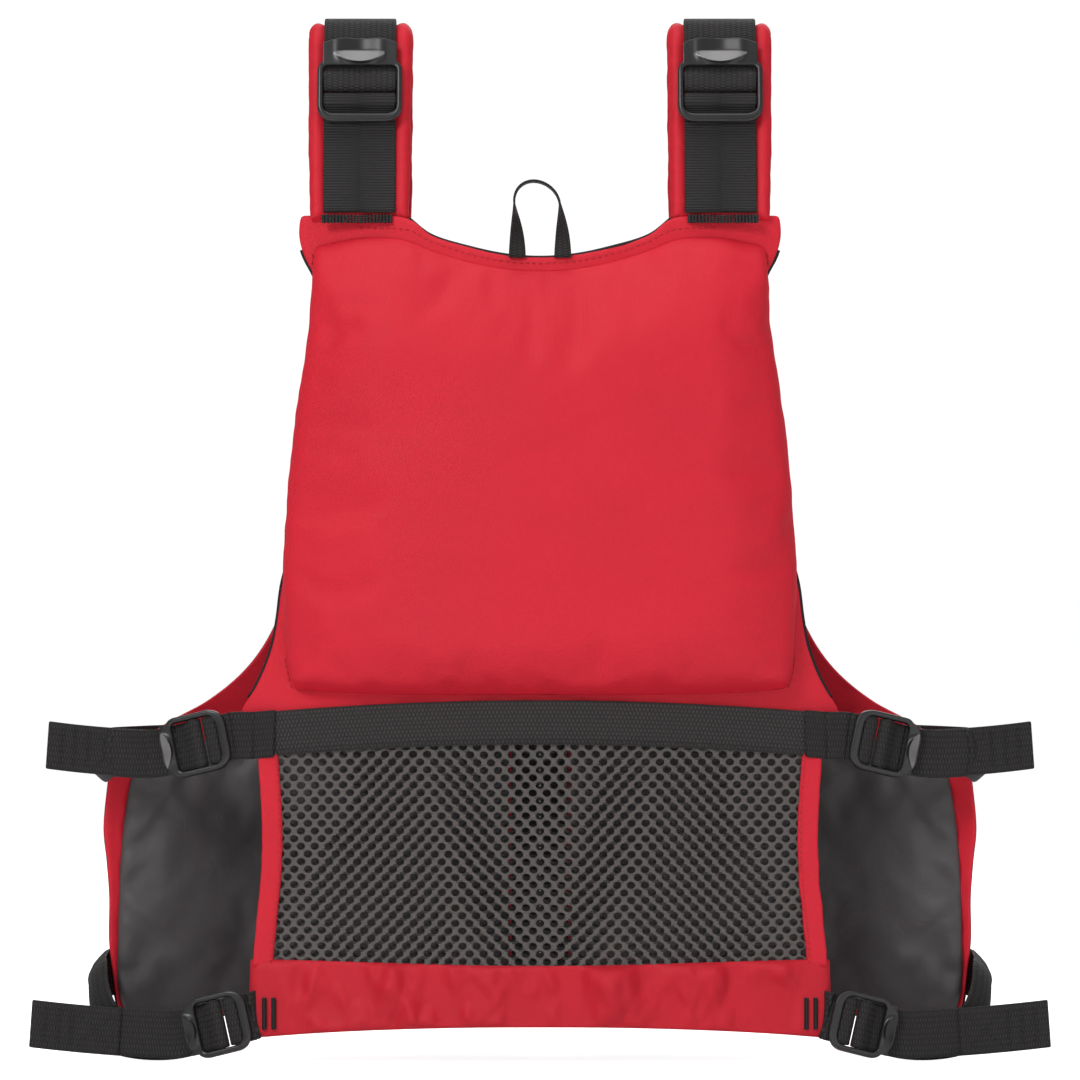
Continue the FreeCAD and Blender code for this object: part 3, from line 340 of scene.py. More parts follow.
def tube(name, path, radius, material, oval=1.0, sides=8):
    """A cord of round or oval section along a path of millimetre points."""
    verts, along, faces = [], [], []
    count = len(path)
    run = 0.0
    up = None
    for i, point in enumerate(path):
        ahead = path[min(i + 1, count - 1)]
        behind = path[max(i - 1, 0)]
        tangent = (ahead - behind).normalized()
        if up is None:
            up = tangent.orthogonal().normalized()
        up = (up - tangent * up.dot(tangent)).normalized()
        side = tangent.cross(up)
        if i:
            run += (point - path[i - 1]).length
        for k in range(sides):
            angle = 2 * math.pi * k / sides
            verts.append(point + up * (radius * math.cos(angle)) + side * (radius * oval * math.sin(angle)))
            along.append(run)
    for i in range(count - 1):
        for k in range(sides):
            a, b = i * sides + k, i * sides + (k + 1) % sides
            faces.append((a, b, b + sides, a + sides))
    faces.append(tuple(reversed(range(sides))))
    faces.append(tuple(range(len(verts) - sides, len(verts))))
    return make(name, verts, faces, material, {"along": along})


# The rings of one stitch: how far along it, how high in thread widths, and how thick in thread radii.
STITCH_RINGS = ((0.0, -0.3, 0.5), (0.2, 0.12, 0.95), (0.5, 0.25, 1.0), (0.8, 0.12, 0.95), (1.0, -0.3, 0.5))
STITCH_SIDES = 6


def spot_on(run, marks, d):
    """The point and the outward direction at a distance along a run of (point, out)."""
    k = max(i for i, mark in enumerate(marks) if mark <= d + 1e-6)
    k = min(k, len(run) - 2)
    t = (d - marks[k]) / max(marks[k + 1] - marks[k], 1e-6)
    return run[k][0].lerp(run[k + 1][0], t), run[k][1].lerp(run[k + 1][1], t).normalized()


def distances(run):
    """How far along a run of (point, out) each of its points lies."""
    marks = [0.0]
    for (a, _), (b, _) in zip(run[:-1], run[1:]):
        marks.append(marks[-1] + (b - a).length)
    return marks


def stitches(name, runs, material, length=2.4, gap=1.1, radius=0.32):
    """Rows of sewn stitches: each run is a list of (point, out), and every stitch is a short raised thread."""
    verts, faces = [], []
    for run in runs:
        marks = distances(run)
        total = marks[-1]
        for s in range(int(total / (length + gap))):
            d = s * (length + gap) + gap / 2
            rings = []
            for f, lift, thin in STITCH_RINGS:
                point, out = spot_on(run, marks, min(d + length * f, total))
                after, _ = spot_on(run, marks, min(d + length * f + 0.2, total))
                before, _ = spot_on(run, marks, max(d + length * f - 0.2, 0))
                side = (after - before).normalized().cross(out).normalized()
                ring = []
                for k in range(STITCH_SIDES):
                    angle = math.pi * 2 * k / STITCH_SIDES
                    ring.append(point + out * (lift * radius * 2 + radius * thin * math.sin(angle))
                                + side * (radius * thin * math.cos(angle)))
                rings.append(ring)
            sweep(verts, faces, rings, False)
    return make(name, verts, faces, material)


def sweep(verts, faces, rings, closed):
    """Adds a tube through rings of equal length to a mesh being built."""
    base, n = len(verts), len(rings[0])
    for ring in rings:
        verts.extend(ring)
    for r in range(len(rings) if closed else len(rings) - 1):
        for k in range(n):
            a, b = base + r * n + k, base + r * n + (k + 1) % n
            after = base + ((r + 1) % len(rings)) * n
            faces.append((a, b, after + (k + 1) % n, after + k))
    if not closed:
        faces.append(tuple(base + k for k in reversed(range(n))))
        faces.append(tuple(base + (len(rings) - 1) * n + k for k in range(n)))


CLOTH_FRAMES, CLOTH_STIFFNESS = 20, 15.0


def inflate(obj, pinned, pressure, shrink, cap):
    """Lets a closed fabric shape swell with Blender's cloth while its pinned points stay still, and caps
    how far it moves."""
    group = obj.vertex_groups.new(name="seam")
    group.add([int(i) for i in pinned], 1.0, "REPLACE")
    before = np.array([v.co[:] for v in obj.data.vertices])
    cloth = obj.modifiers.new("cloth", "CLOTH")
    settings = cloth.settings
    settings.quality = 5
    settings.mass = 0.2
    settings.tension_stiffness = CLOTH_STIFFNESS
    settings.compression_stiffness = CLOTH_STIFFNESS
    settings.shear_stiffness = 5.0
    settings.bending_stiffness = 0.4
    settings.use_pressure = True
    settings.uniform_pressure_force = pressure
    settings.shrink_min = shrink
    settings.vertex_group_mass = "seam"
    settings.effector_weights.gravity = 0.0
    cloth.collision_settings.use_collision = False
    cloth.point_cache.frame_start = 1
    cloth.point_cache.frame_end = CLOTH_FRAMES
    scene = bpy.context.scene
    for number in range(1, CLOTH_FRAMES + 1):
        scene.frame_set(number)
    graph = bpy.context.evaluated_depsgraph_get()
    result = obj.evaluated_get(graph).to_mesh()
    after = np.array([v.co[:] for v in result.vertices])
    obj.evaluated_get(graph).to_mesh_clear()
    obj.modifiers.clear()
    scene.frame_set(1)
    move = after - before
    reach = np.linalg.norm(move, axis=1, keepdims=True)
    limit = cap * MM
    move *= np.where(reach > limit, limit / np.maximum(reach, 1e-9), 1.0)
    obj.data.vertices.foreach_set("co", (before + move).ravel())
    obj.data.update()
    obj.vertex_groups.clear()


# ---------------------------------------------------------------- materials

class Graph:
    """A short way to write shader nodes."""

    def __init__(self, name):
        self.material = bpy.data.materials.new(name)
        self.material.use_nodes = True
        self.tree = self.material.node_tree
        self.shader = self.tree.nodes["Principled BSDF"]

    def node(self, kind, settings=None, **inputs):
        """A new node with its settings made and its inputs plugged in."""
        node = self.tree.nodes.new(kind)
        for key, value in (settings or {}).items():
            setattr(node, key, value)
        for key, value in inputs.items():
            self.plug(node, key, value)
        return node

    def plug(self, node, key, value):
        """Links or sets an input, which is named by a or b (the first two) or by its own name."""
        names = {"a": 0, "b": 1}
        socket = node.inputs[names[key]] if key in names else node.inputs[key.replace("_", " ")]
        if isinstance(value, bpy.types.NodeSocket):
            self.tree.links.new(value, socket)
        else:
            socket.default_value = value

    def math(self, operation, a, b=0.0):
        return self.node("ShaderNodeMath", {"operation": operation}, a=a, b=b).outputs[0]

    def place(self):
        """Where a point of the surface lies in the piece's own frame."""
        return self.node("ShaderNodeTexCoord").outputs["Object"]

    def noise(self, scale, detail=3.0, vector=None, rough=0.5, distortion=0.0):
        found = self.node("ShaderNodeTexNoise", Scale=scale, Detail=detail, Roughness=rough,
                          Distortion=distortion, Vector=vector or self.place())
        return found.outputs["Fac"]

    def attribute(self, name):
        return self.node("ShaderNodeAttribute", {"attribute_name": name}).outputs["Fac"]

    def ramp(self, value, stops):
        """Colours by value, from stops of (position, colour)."""
        node = self.node("ShaderNodeValToRGB", Fac=value)
        while len(node.color_ramp.elements) < len(stops):
            node.color_ramp.elements.new(0.5)
        for element, (at, colour) in zip(node.color_ramp.elements, stops):
            element.position = at
            element.color = (*colour, 1.0)
        return node.outputs["Color"]

    def mix(self, factor, a, b):
        node = self.node("ShaderNodeMix", {"data_type": "RGBA"})
        for socket, value in ((node.inputs["Factor"], factor), (node.inputs[6], a), (node.inputs[7], b)):
            if isinstance(value, bpy.types.NodeSocket):
                self.tree.links.new(value, socket)
            else:
                socket.default_value = value if isinstance(value, float) else (*value, 1.0)
        return node.outputs[2]

    def bump(self, height, distance, strength=1.0, normal=None):
        node = self.node("ShaderNodeBump", Height=height, Distance=distance, Strength=strength)
        if normal is not None:
            self.plug(node, "Normal", normal)
        return node.outputs["Normal"]

    def edge_pointiness(self):
        """The surface's pointiness: high on raised edges, low in creases."""
        return self.node("ShaderNodeNewGeometry").outputs["Pointiness"]


def scaled(colour, factor):
    """A lighter or darker colour of the same hue."""
    return tuple(min(1.0, c * factor) for c in colour)


NO, YES = (0.0, 0.0, 0.0), (1.0, 1.0, 1.0)
WEAVE = 3900.0


def woven(name, colour, rough=0.62, sheen=0.35, crease=0.00045):
    """Nylon cloth: a fine plain weave, soft creases, a little variation in its dye, and paler folds."""
    g = Graph(name)
    at = g.place()
    parts = g.node("ShaderNodeSeparateXYZ", a=at).outputs
    warp = g.math("SINE", g.math("MULTIPLY", parts[0], WEAVE))
    weft = g.math("SINE", g.math("MULTIPLY", parts[2], WEAVE))
    cloth = g.math("MULTIPLY", warp, weft)
    blotch = g.noise(14.0, 4.0, at)
    dyed = g.mix(blotch, scaled(colour, 0.86), scaled(colour, 1.12))
    grain = g.noise(420.0, 2.0, at)
    dyed = g.mix(g.math("MULTIPLY", grain, 0.16), dyed, scaled(colour, 0.62))
    edge = g.ramp(g.edge_pointiness(), [(0.44, NO), (0.62, YES)])
    dyed = g.mix(g.math("MULTIPLY", edge, 0.22), dyed, scaled(colour, 1.5))
    g.plug(g.shader, "Base Color", dyed)
    g.plug(g.shader, "Roughness", g.math("ADD", g.math("MULTIPLY", blotch, 0.12), rough - 0.06))
    g.shader.inputs["Sheen Weight"].default_value = sheen
    g.shader.inputs["Sheen Roughness"].default_value = 0.45
    g.shader.inputs["Sheen Tint"].default_value = (*scaled(colour, 1.3), 1.0)
    g.shader.inputs["Specular IOR Level"].default_value = 0.28
    folds = g.noise(60.0, 5.0, at, 0.55, 0.6)
    fine = g.noise(210.0, 3.0, at, 0.5, 1.2)
    height = g.math("ADD", folds, g.math("MULTIPLY", fine, 0.25))
    normal = g.bump(height, crease, 0.75)
    g.plug(g.shader, "Normal", g.bump(cloth, 0.00006, 0.5, normal))
    return g.material


def webbing(name, colour=(0.019, 0.0175, 0.0175), rib=1.45, column=2.9, depth=0.00022):
    """Woven webbing: ribs across it in staggered columns and a fuzz of fibre, with a painted highlight on the
    thread crowns and painted shade between them.
    """
    g = Graph(name)
    along, across = g.attribute("along"), g.attribute("across")
    columns = g.math("FLOOR", g.math("DIVIDE", across, column))
    shift = g.math("MULTIPLY", columns, math.pi / 2)
    rows = g.math("ABSOLUTE", g.math("SINE", g.math("ADD", g.math("MULTIPLY", along, math.pi / rib), shift)))
    sides = g.math("ABSOLUTE", g.math("SINE", g.math("MULTIPLY", across, math.pi / column)))
    thread = g.math("MULTIPLY", rows, g.math("POWER", sides, 0.4))
    fuzz = g.noise(900.0, 3.0)
    blotch = g.noise(30.0, 3.0)
    # Painted highlight and shade: the thread's height lightens its crowns and darkens the grooves.
    lit = g.math("ADD", g.math("MULTIPLY", thread, 0.75), g.math("MULTIPLY", fuzz, 0.35))
    tone = g.ramp(lit, [(0.1, scaled(colour, 0.35)), (0.55, colour), (1.0, scaled(colour, 1.9))])
    tone = g.mix(g.math("MULTIPLY", blotch, 0.3), tone, scaled(colour, 1.35))
    g.plug(g.shader, "Base Color", tone)
    g.plug(g.shader, "Roughness", g.math("ADD", g.math("MULTIPLY", fuzz, 0.2), 0.55))
    g.shader.inputs["Sheen Weight"].default_value = 0.06
    g.shader.inputs["Sheen Roughness"].default_value = 0.4
    g.shader.inputs["Specular IOR Level"].default_value = 0.22
    normal = g.bump(thread, depth, 0.9)
    g.plug(g.shader, "Normal", g.bump(fuzz, 0.00012, 0.5, normal))
    return g.material


def knit(name, colour):
    """The mesh fabric's yarn: fuzzy, with short loops. Yarns marked by the deep attribute get painted shade.
    """
    g = Graph(name)
    painted_yarn_shade = g.attribute("deep")
    fuzz = g.noise(1600.0, 3.0)
    loops = g.noise(500.0, 2.0, None, 0.6, 2.0)
    tone = g.ramp(g.math("ADD", g.math("MULTIPLY", fuzz, 0.5), g.math("MULTIPLY", loops, 0.5)),
                  [(0.25, scaled(colour, 0.55)), (0.5, colour), (0.8, scaled(colour, 1.5))])
    tone = g.mix(g.math("MULTIPLY", g.noise(18.0), 0.35), tone, scaled(colour, 1.25))
    # Painted shade: where the deep attribute is set, the yarn is mixed towards a much darker colour.
    g.plug(g.shader, "Base Color", g.mix(painted_yarn_shade, tone, scaled(colour, 0.16)))
    g.shader.inputs["Roughness"].default_value = 0.78
    g.shader.inputs["Sheen Weight"].default_value = 0.08
    g.plug(g.shader, "Normal", g.bump(loops, 0.0003, 0.8))
    return g.material


def plastic(name, colour=(0.012, 0.012, 0.013), rough=0.3):
    """Moulded acetal: satin, with a faint mould grain, a painted highlight on its edges and a few fine
    scratches.
    """
    g = Graph(name)
    grain = g.noise(1400.0, 2.0)
    cloud = g.noise(55.0, 4.0)
    stretch = g.node("ShaderNodeMapping", Vector=g.place(), Scale=(60.0, 500.0, 1500.0)).outputs[0]
    scratch = g.ramp(g.noise(1.0, 6.0, stretch, 0.7), [(0.62, NO), (0.7, YES)])
    # Painted highlight: raised edges are mixed towards a much lighter colour.
    edge = g.ramp(g.edge_pointiness(), [(0.5, NO), (0.6, YES)])
    tone = g.mix(g.math("MULTIPLY", cloud, 0.5), colour, scaled(colour, 1.8))
    tone = g.mix(g.math("MULTIPLY", edge, 0.35), tone, scaled(colour, 4.5))
    g.plug(g.shader, "Base Color", tone)
    g.plug(g.shader, "Roughness", g.math("ADD", g.math("MULTIPLY", cloud, 0.16),
                                         g.math("ADD", g.math("MULTIPLY", scratch, 0.15), rough - 0.05)))
    g.plug(g.shader, "Normal", g.bump(grain, 0.00002, 0.5))
    return g.material


def enamel(name):
    """Black enamelled zinc, rubbed bright at its corners."""
    g = Graph(name)
    edge = g.ramp(g.edge_pointiness(), [(0.52, NO), (0.62, YES)])
    g.plug(g.shader, "Base Color", g.mix(edge, (0.02, 0.02, 0.021), (0.25, 0.25, 0.25)))
    g.plug(g.shader, "Metallic", g.math("MULTIPLY", edge, 0.7))
    g.plug(g.shader, "Roughness", g.math("ADD", g.math("MULTIPLY", g.noise(300.0), 0.2), 0.25))
    g.plug(g.shader, "Normal", g.bump(g.noise(900.0), 0.00003, 0.4))
    return g.material


def thread(name, colour):
    """Twisted sewing thread."""
    g = Graph(name)
    twist = g.noise(2600.0, 2.0, None, 0.5, 1.0)
    g.plug(g.shader, "Base Color", g.mix(twist, scaled(colour, 0.6), scaled(colour, 1.5)))
    g.shader.inputs["Roughness"].default_value = 0.6
    g.shader.inputs["Sheen Weight"].default_value = 0.05
    g.plug(g.shader, "Normal", g.bump(twist, 0.0001, 0.6))
    return g.material


RED = woven("red_nylon", (0.62, 0.013, 0.030))
# Painted shade: the hem is the same red nylon made darker, for the shade in its folds.
RED_HEM_SHADED = woven("red_hem_nylon_painted_shade", (0.535, 0.012, 0.026), crease=0.0007)
RED_STRAP = woven("red_strap_nylon", (0.58, 0.012, 0.026), crease=0.0006)
LINING = woven("black_lining_nylon", (0.074, 0.069, 0.071), rough=0.5, sheen=0.4, crease=0.0009)
EDGE = woven("black_edging", (0.012, 0.012, 0.014), rough=0.7, sheen=0.2)
WEB = webbing("black_webbing", depth=0.0003)
WEB_RIBBED = webbing("ribbed_black_webbing", rib=1.55, column=60.0, depth=0.0005)
WEB_WAIST = webbing("waist_webbing_weave", (0.030, 0.028, 0.028), rib=2.0, column=2.2, depth=0.0004)
ZIP_TAPE = webbing("zip_tape_weave", (0.02, 0.02, 0.021), rib=0.9, column=1.3, depth=0.00012)
MESH = knit("mesh_yarn", (0.088, 0.079, 0.075))
# Painted shade: the inner layer's yarn is the outer yarn made much darker, for the shadow it lies in behind
# the outer layer.
MESH_INNER_SHADED = knit("inner_mesh_yarn_painted_shade", (0.026, 0.023, 0.023))
BLACK_PLASTIC = plastic("black_acetal")
# Painted highlight: the tab's lip is the same glossy black acetal, made pale grey to stand for the top light
# it reflects.
LIP_PAINTED_HIGHLIGHT = plastic("acetal_lip_painted_highlight", (0.13, 0.125, 0.125), 0.2)
ZIP_PLASTIC = plastic("zip_tooth_plastic", (0.02, 0.02, 0.02), 0.38)
ENAMEL = enamel("black_enamel")
BLACK_THREAD = thread("black_thread", (0.008, 0.008, 0.009))
RED_THREAD = thread("red_thread", (0.45, 0.012, 0.02))


# ---------------------------------------------------------------- fixing pieces to the CAD's bodies

def stand_for(obj, nodes):
    """Hides the CAD nodes that a piece stands for."""
    if nodes:
        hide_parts(*nodes)


def fix(obj, slot, *nodes, body=ROOT):
    """Fixes a piece to one body."""
    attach(obj, body)
    stand_for(obj, nodes)


def settle(obj, stem, nodes=(), body=None, blend=None):
    """Makes the right-hand twin of a left-hand piece. Without blend it fixes both to their bodies; with blend
    it only bakes their transforms, and the bodies and points in blend are worked out but not used. {side} in a
    name becomes left or right. blend is (one body, the other, start, end) with the points in millimetres."""
    twin = flip(obj, stem + "_right")
    obj.name = stem + "_left"
    for piece, side, sign in ((obj, "left", 1), (twin, "right", -1)):
        if blend:
            one, other, start, end = blend
            start, end = (Vector((sign * p[0], p[1], p[2])) * MM for p in (start, end))
            one.format(side=side)
            other.format(side=side)
            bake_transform(piece)
            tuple(start)
            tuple(end)
        else:
            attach(piece, body.format(side=side))
        stand_for(piece, [node.format(side=side) for node in nodes])


# ---------------------------------------------------------------- cushions and flat panels

def flat(points, count):
    """A smooth XZ curve with evenly spaced points."""
    return [Vector((p.x, p.y)) for p in smooth([(x, z, 0.0) for x, z in points], count)]


def crown(distance, radius):
    """0 at a seam, rising like a quarter round to 1 at a radius from it."""
    t = np.clip(distance / radius, 0.0, 1.0)
    return np.sqrt(np.maximum(0.0, 1.0 - (1.0 - t) ** 2))


def puckers(distance, where, seed, size, reach, pitch):
    """Small gathers that run away from a seam and fade with distance."""
    result = np.zeros(distance.shape)
    for index, d in np.ndenumerate(distance):
        if d < 4 * reach:
            w = where[index]
            result[index] = size * math.exp(-d / reach) * fbm(w / pitch, d / (pitch * 3.5), seed, 2)
    return result


def drape(grid, seed, size, long, short, angle=0.0):
    """Broad shallow undulations of a panel, longer one way than the other."""
    c, s = math.cos(angle), math.sin(angle)
    result = np.zeros(grid.shape[:2])
    for j in range(grid.shape[0]):
        for i in range(grid.shape[1]):
            x, z = grid[j, i]
            result[j, i] = size * fbm((c * x + s * z) / long, (-s * x + c * z) / short, seed, 3)
    return result


def crease(grid, start, end, deep, wide):
    """A valley between two soft ridges along a line, deepest at its start and fading out at its end."""
    a, b = np.array(start), np.array(end)
    run = b - a
    length = np.linalg.norm(run)
    t = np.clip(((grid - a) @ run) / length ** 2, 0.0, 1.0)
    side = np.array([-run[1], run[0]]) / length
    gap = ((grid - a) @ side) / wide
    past = np.linalg.norm(grid - (a + t[..., None] * run), axis=2) / wide
    return deep * (1.0 - t) ** 0.7 * (0.5 * gap * np.exp(-0.6 * past ** 2) - np.exp(-past ** 2))


def border(grid):
    """Indices of the rim points of a panel's two faces."""
    rows, cols = grid.shape[:2]
    rim = [j * cols + i for j in range(rows) for i in range(cols) if j in (0, rows - 1) or i in (0, cols - 1)]
    return rim + [rows * cols + k for k in rim]


BACK_PAD_LEFT = [(-129, 196), (-132, 207), (-134, 235), (-134.5, 262), (-133.5, 280), (-130.5, 318),
                 (-126.5, 350), (-121.2, 386), (-119.8, 410), (-118, 430)]
BACK_PAD_TOP = [(-118, 430), (-95, 434.5), (-72, 433.5), (-58, 428), (-37, 421.5), (-18, 418), (0, 417)]
BACK_PAD_LOW = [(-129, 196), (-100, 194), (-50, 193), (0, 193)]
RIM_LEFT = [(-159, 177), (-157.4, 186), (-151.5, 194.5), (-145, 208), (-141, 220), (-138.5, 234),
            (-136.5, 250), (-133, 265), (-129, 290), (-125.5, 318), (-121.5, 345), (-117.5, 366),
            (-115.5, 386), (-115.5, 403), (-119.8, 415), (-125, 425), (-127.8, 436), (-126.8, 446.5)]
RIM_TOP = [(-126.8, 446.5), (-96, 446.4), (-69, 444.5), (-58, 436), (-37, 429.3), (-18, 425.3), (0, 424)]
RIM_LOW = [(-159, 177), (-80, 179), (0, 180)]


NECK_SEAM = [(-96, 439.5), (-70, 438.5), (-57, 432.2), (-37, 425.6), (-18, 421.8), (0, 420.6)]


def both_sides(points):
    """A left-hand run of XZ points that ends at the middle, carried on to the right."""
    return points + [(-x, z) for x, z in reversed(points[:-1])]


def symmetric(left, top, low, across, up):
    """A grid from the left, top and bottom boundaries of a panel that is the same on both sides."""
    sides = flat(left, up)
    mirrored = [Vector((-p.x, p.y)) for p in sides]
    return coons(flat(both_sides(low), across), flat(both_sides(top), across), sides, mirrored)


def cushion(name, grid, low, high, place, material, cap, shrink=-0.02, pressure=4.0):
    """A padded panel: swollen by cloth with its seam held, then smoothed."""
    obj = panel(name, grid, low, high, place, material)
    inflate(obj, border(grid), pressure, shrink, cap)
    modifier(obj, "SUBSURF", levels=1)
    shade(obj.data)
    return obj


def overhang(x, z, out):
    """A place on the back whose sides bulge out past the cushion's seam."""
    swell = math.sin(math.pi * unit(out / 19.0))
    side = unit((abs(x) - 92.0) / 26.0)
    return on_back(x + math.copysign(5.0 * swell * side * side, x), z, out)


def build_back_panel():
    """The padded upper back: a red cushion outside, a black one inside and the flange round them."""
    grid = symmetric(BACK_PAD_LEFT, BACK_PAD_TOP, BACK_PAD_LOW, 61, 53)
    distance, where = edge_distance(grid)
    depth = grid[-1, :, 1][None, :] - grid[:, :, 1]
    easy = np.sin(math.pi / 2 * np.clip(depth / 62.0, 0.0, 1.0)) ** 0.8
    rise = np.minimum(crown(distance, 26.0), 0.10 + 0.90 * easy)
    folds = (puckers(distance, where, 3.1, 1.6, 13.0, 9.0) + drape(grid, 7.7, 1.0, 90.0, 34.0, 0.2) * rise
             + puckers(depth, grid[:, :, 0], 6.3, 1.5, 16.0, 15.0) * np.clip(distance / 10.0, 0.0, 1.0))

    high = 1.8 + 20.0 * rise + folds
    outer = cushion("back_cushion", grid, np.full(rise.shape, 0.4), high, overhang, RED, 5.0)
    fix(outer, "red_fabric", "back_shell", "back_foam_outer")
    folds = puckers(distance, where, 9.4, 1.2, 14.0, 11.0) + drape(grid, 2.2, 1.2, 70.0, 30.0, -0.3) * rise
    low = -(2.0 + 6.0 * rise + folds)
    inner = cushion("back_lining_cushion", grid, low, np.full(rise.shape, -1.5), on_back, LINING, 5.0)
    fix(inner, "black_fabric", "back_lining", "back_foam_inner")

    grid = symmetric(RIM_LEFT, RIM_TOP, RIM_LOW, 81, 61)
    distance, where = edge_distance(grid)
    ripple = puckers(distance, where, 5.5, 0.9, 12.0, 8.0) + drape(grid, 1.3, 0.8, 30.0, 22.0)
    flange = panel("back_flange", grid, -1.3 + ripple * 0.6, 0.2 + ripple * 0.6, on_back, RED)
    modifier(flange, "SUBSURF", levels=1)
    fix(flange, "red_fabric")
    build_back_edging()
    build_back_seams()


def build_back_edging():
    """The black edging of the arm holes and of the neck."""
    side = [p for p in flat(RIM_LEFT, 90) if 190 < p.y < 429]
    cords = []
    for sign in (-1, 1):
        path = [on_back(-sign * p.x, p.y, -1.4) for p in side]
        cords.append(tube("edging", path, 1.25, EDGE, oval=0.8))
    neck = flat(both_sides(RIM_TOP[2:]), 80)
    cords.append(tube("edging", [on_back(p.x, p.y - 0.1, -1.2) for p in neck], 0.95, EDGE, oval=0.8))
    fix(join(cords, "back_edging"), "black_fabric", "back_piping")


def build_back_seams():
    """Stitching where the cushion's seam shows: short stretches at its sides and the whole of its neck."""
    seam = []
    pad_left = flat(BACK_PAD_LEFT, 160)
    for sign in (-1, 1):
        for low, high in ((190, 214), (419, 431)):
            seam.append([(on_back(-sign * (p.x - 1.8), p.y, 0.6), REAR) for p in pad_left if low < p.y < high])
    seam.append([(on_back(x, z, 0.7), REAR) for x, z in both_sides(flat(NECK_SEAM, 70))])
    fix(stitches("back_seam_stitching", seam, RED_THREAD, 2.2, 1.3, 0.28), "red_fabric")


# ---------------------------------------------------------------- the open lower back

CELL_WIDE, CELL_TALL = 7.4, 8.05
HOLE_WIDE, HOLE_TALL = 2.6, 2.3


def slant(x, z):
    """Which diagonal yarns of the net get painted shade, as if they lay deep: 1 for those that fall one way,
    -1 for those that fall the other way, and 0 for neither."""
    across = abs(x)
    apex = 64.0 - 26.0 * (170.0 - z) / 118.0
    if across > 108.0 - 12.0 * math.sin(z / 19.0):
        return 0.0
    if across < 10.0 + 26.0 * (z - 60.0) / 110.0:
        return 0.25
    outward = math.tanh((across - apex) / 9.0)
    return (outward if x > 0 else -outward) * min(1.0, (178.0 - z) / 26.0)


def net(name, level, material, warp):
    """Hexagon mesh at a level out from where it sags: every cell is a ring between a hexagon and an oval
    hole. warp moves the cells about."""
    verts, faces, seen, deep = [], [], {}, []

    def corner(x, z):
        """The number of a hexagon's corner, which its neighbours share."""
        key = (round(x * 20), round(z * 20))
        if key not in seen:
            seen[key] = len(verts)
            verts.append((x, z))
        return seen[key]

    rise = CELL_TALL / 2
    for row in range(-1, 31):
        z = 49.0 + row * rise
        for column in range(-20, 21):
            x = (column + (0.5 if row % 2 else 0.0)) * CELL_WIDE
            if abs(x) > 139 or z > 174 or z < 48:
                continue
            outer = [corner(x, z + rise * 2 / 3), corner(x + CELL_WIDE / 2, z + rise / 3),
                     corner(x + CELL_WIDE / 2, z - rise / 3), corner(x, z - rise * 2 / 3),
                     corner(x - CELL_WIDE / 2, z - rise / 3), corner(x - CELL_WIDE / 2, z + rise / 3)]
            inner = []
            for k in range(6):
                a = math.pi / 2 - k * math.pi / 3
                inner.append(len(verts))
                verts.append((x + HOLE_WIDE * math.cos(a), z + HOLE_TALL * math.sin(a)))
            lit = slant(x, z)
            for k in range(6):
                after = (k + 1) % 6
                faces.append((outer[k], outer[after], inner[after], inner[k]))
                # Yarns of one slant get painted shade through the deep value; they are not moved deeper.
                falls = {0: -1, 3: -1, 2: 1, 5: 1}.get(k, 0)
                deep.append(max(0.0, min(0.92, falls * lit)) if falls else 0.0)
    placed = []
    for x, z in verts:
        dx, dz = warp(x, z)
        placed.append(on_back(x + dx, z + dz, sag(x, z) + level))
    obj = make(name, placed, faces, material)
    data = obj.data.attributes.new("deep", "FLOAT", "FACE")
    data.data.foreach_set("value", deep)
    modifier(obj, "SOLIDIFY", thickness=0.7 * MM, offset=0.0)
    modifier(obj, "SUBSURF", levels=1)
    return obj


def sag(x, z):
    """How far the net hangs in from the hem and the webbing."""
    t = unit((z - 52.0) / 118.0)
    return -3.0 * math.sin(math.pi * t) * (1 - (x / 150.0) ** 2) + 0.5 * fbm(x / 35.0, z / 30.0, 4.0, 2)


def wander(x, z):
    """Small irregular shifts of the outer layer's cells."""
    return 0.5 * fbm(x / 50.0, z / 40.0, 1.0, 2), 0.5 * fbm(x / 50.0, z / 40.0, 8.0, 2)


def drift(x, z):
    """How far a cell of the inner layer lies from the outer layer's, which makes the moire."""
    across = abs(x)
    slide = math.sin(across / 46.0 * math.pi + (z - 110.0) / 70.0)
    lift = math.cos(across / 60.0 * math.pi - (z - 60.0) / 45.0)
    side = 1.0 if x > 0 else -1.0
    return 1.9 * slide * side * min(1.0, across / 15.0), 2.1 * lift


def build_mesh():
    """Two layers of mesh whose cells drift past one another."""
    outer = net("mesh_layer_outer", -0.4, MESH, wander)
    # The inner layer's darker yarn is painted shade.
    inner = net("mesh_layer_inner", -4.2, MESH_INNER_SHADED, drift)
    fix(outer, "mesh_fabric", "mesh_outer")
    fix(inner, "mesh_fabric", "mesh_inner")


BINDING = [(-142.2, 180.0), (-143.4, 163.0), (-141.8, 140.0), (-141.2, 124.0), (-141.2, 108.0), (-141.9, 94.0),
           (-143.8, 75.0), (-146.0, 50.0)]


def build_bindings():
    """The red strips down the sides of the mesh, each with two rows of stitches."""
    sides = []
    for sign in (-1, 1):
        stations = []
        for p in flat(BINDING, 46):
            wave = 0.5 * fbm(p.y / 11.0, sign * 3.0, 2.0, 2)
            x = -sign * p.x
            stations.append((on_back(x + wave, p.y, 0.2 + 0.5 * wave), RIGHT, REAR))
        sides.append(strip("binding", stations, 10.8, 3.4, RED))
    fix(join(sides, "mesh_side_bindings"), "red_fabric", "mesh_bindings")
    lines = []
    for sign in (-1, 1):
        for offset in (-4.0, 4.0):
            lines.append([(on_back(-sign * p.x + offset, p.y, 2.0), REAR) for p in flat(BINDING[1:], 60)])
    fix(stitches("binding_stitching", lines, RED_THREAD, 2.2, 1.2, 0.26), "red_fabric")


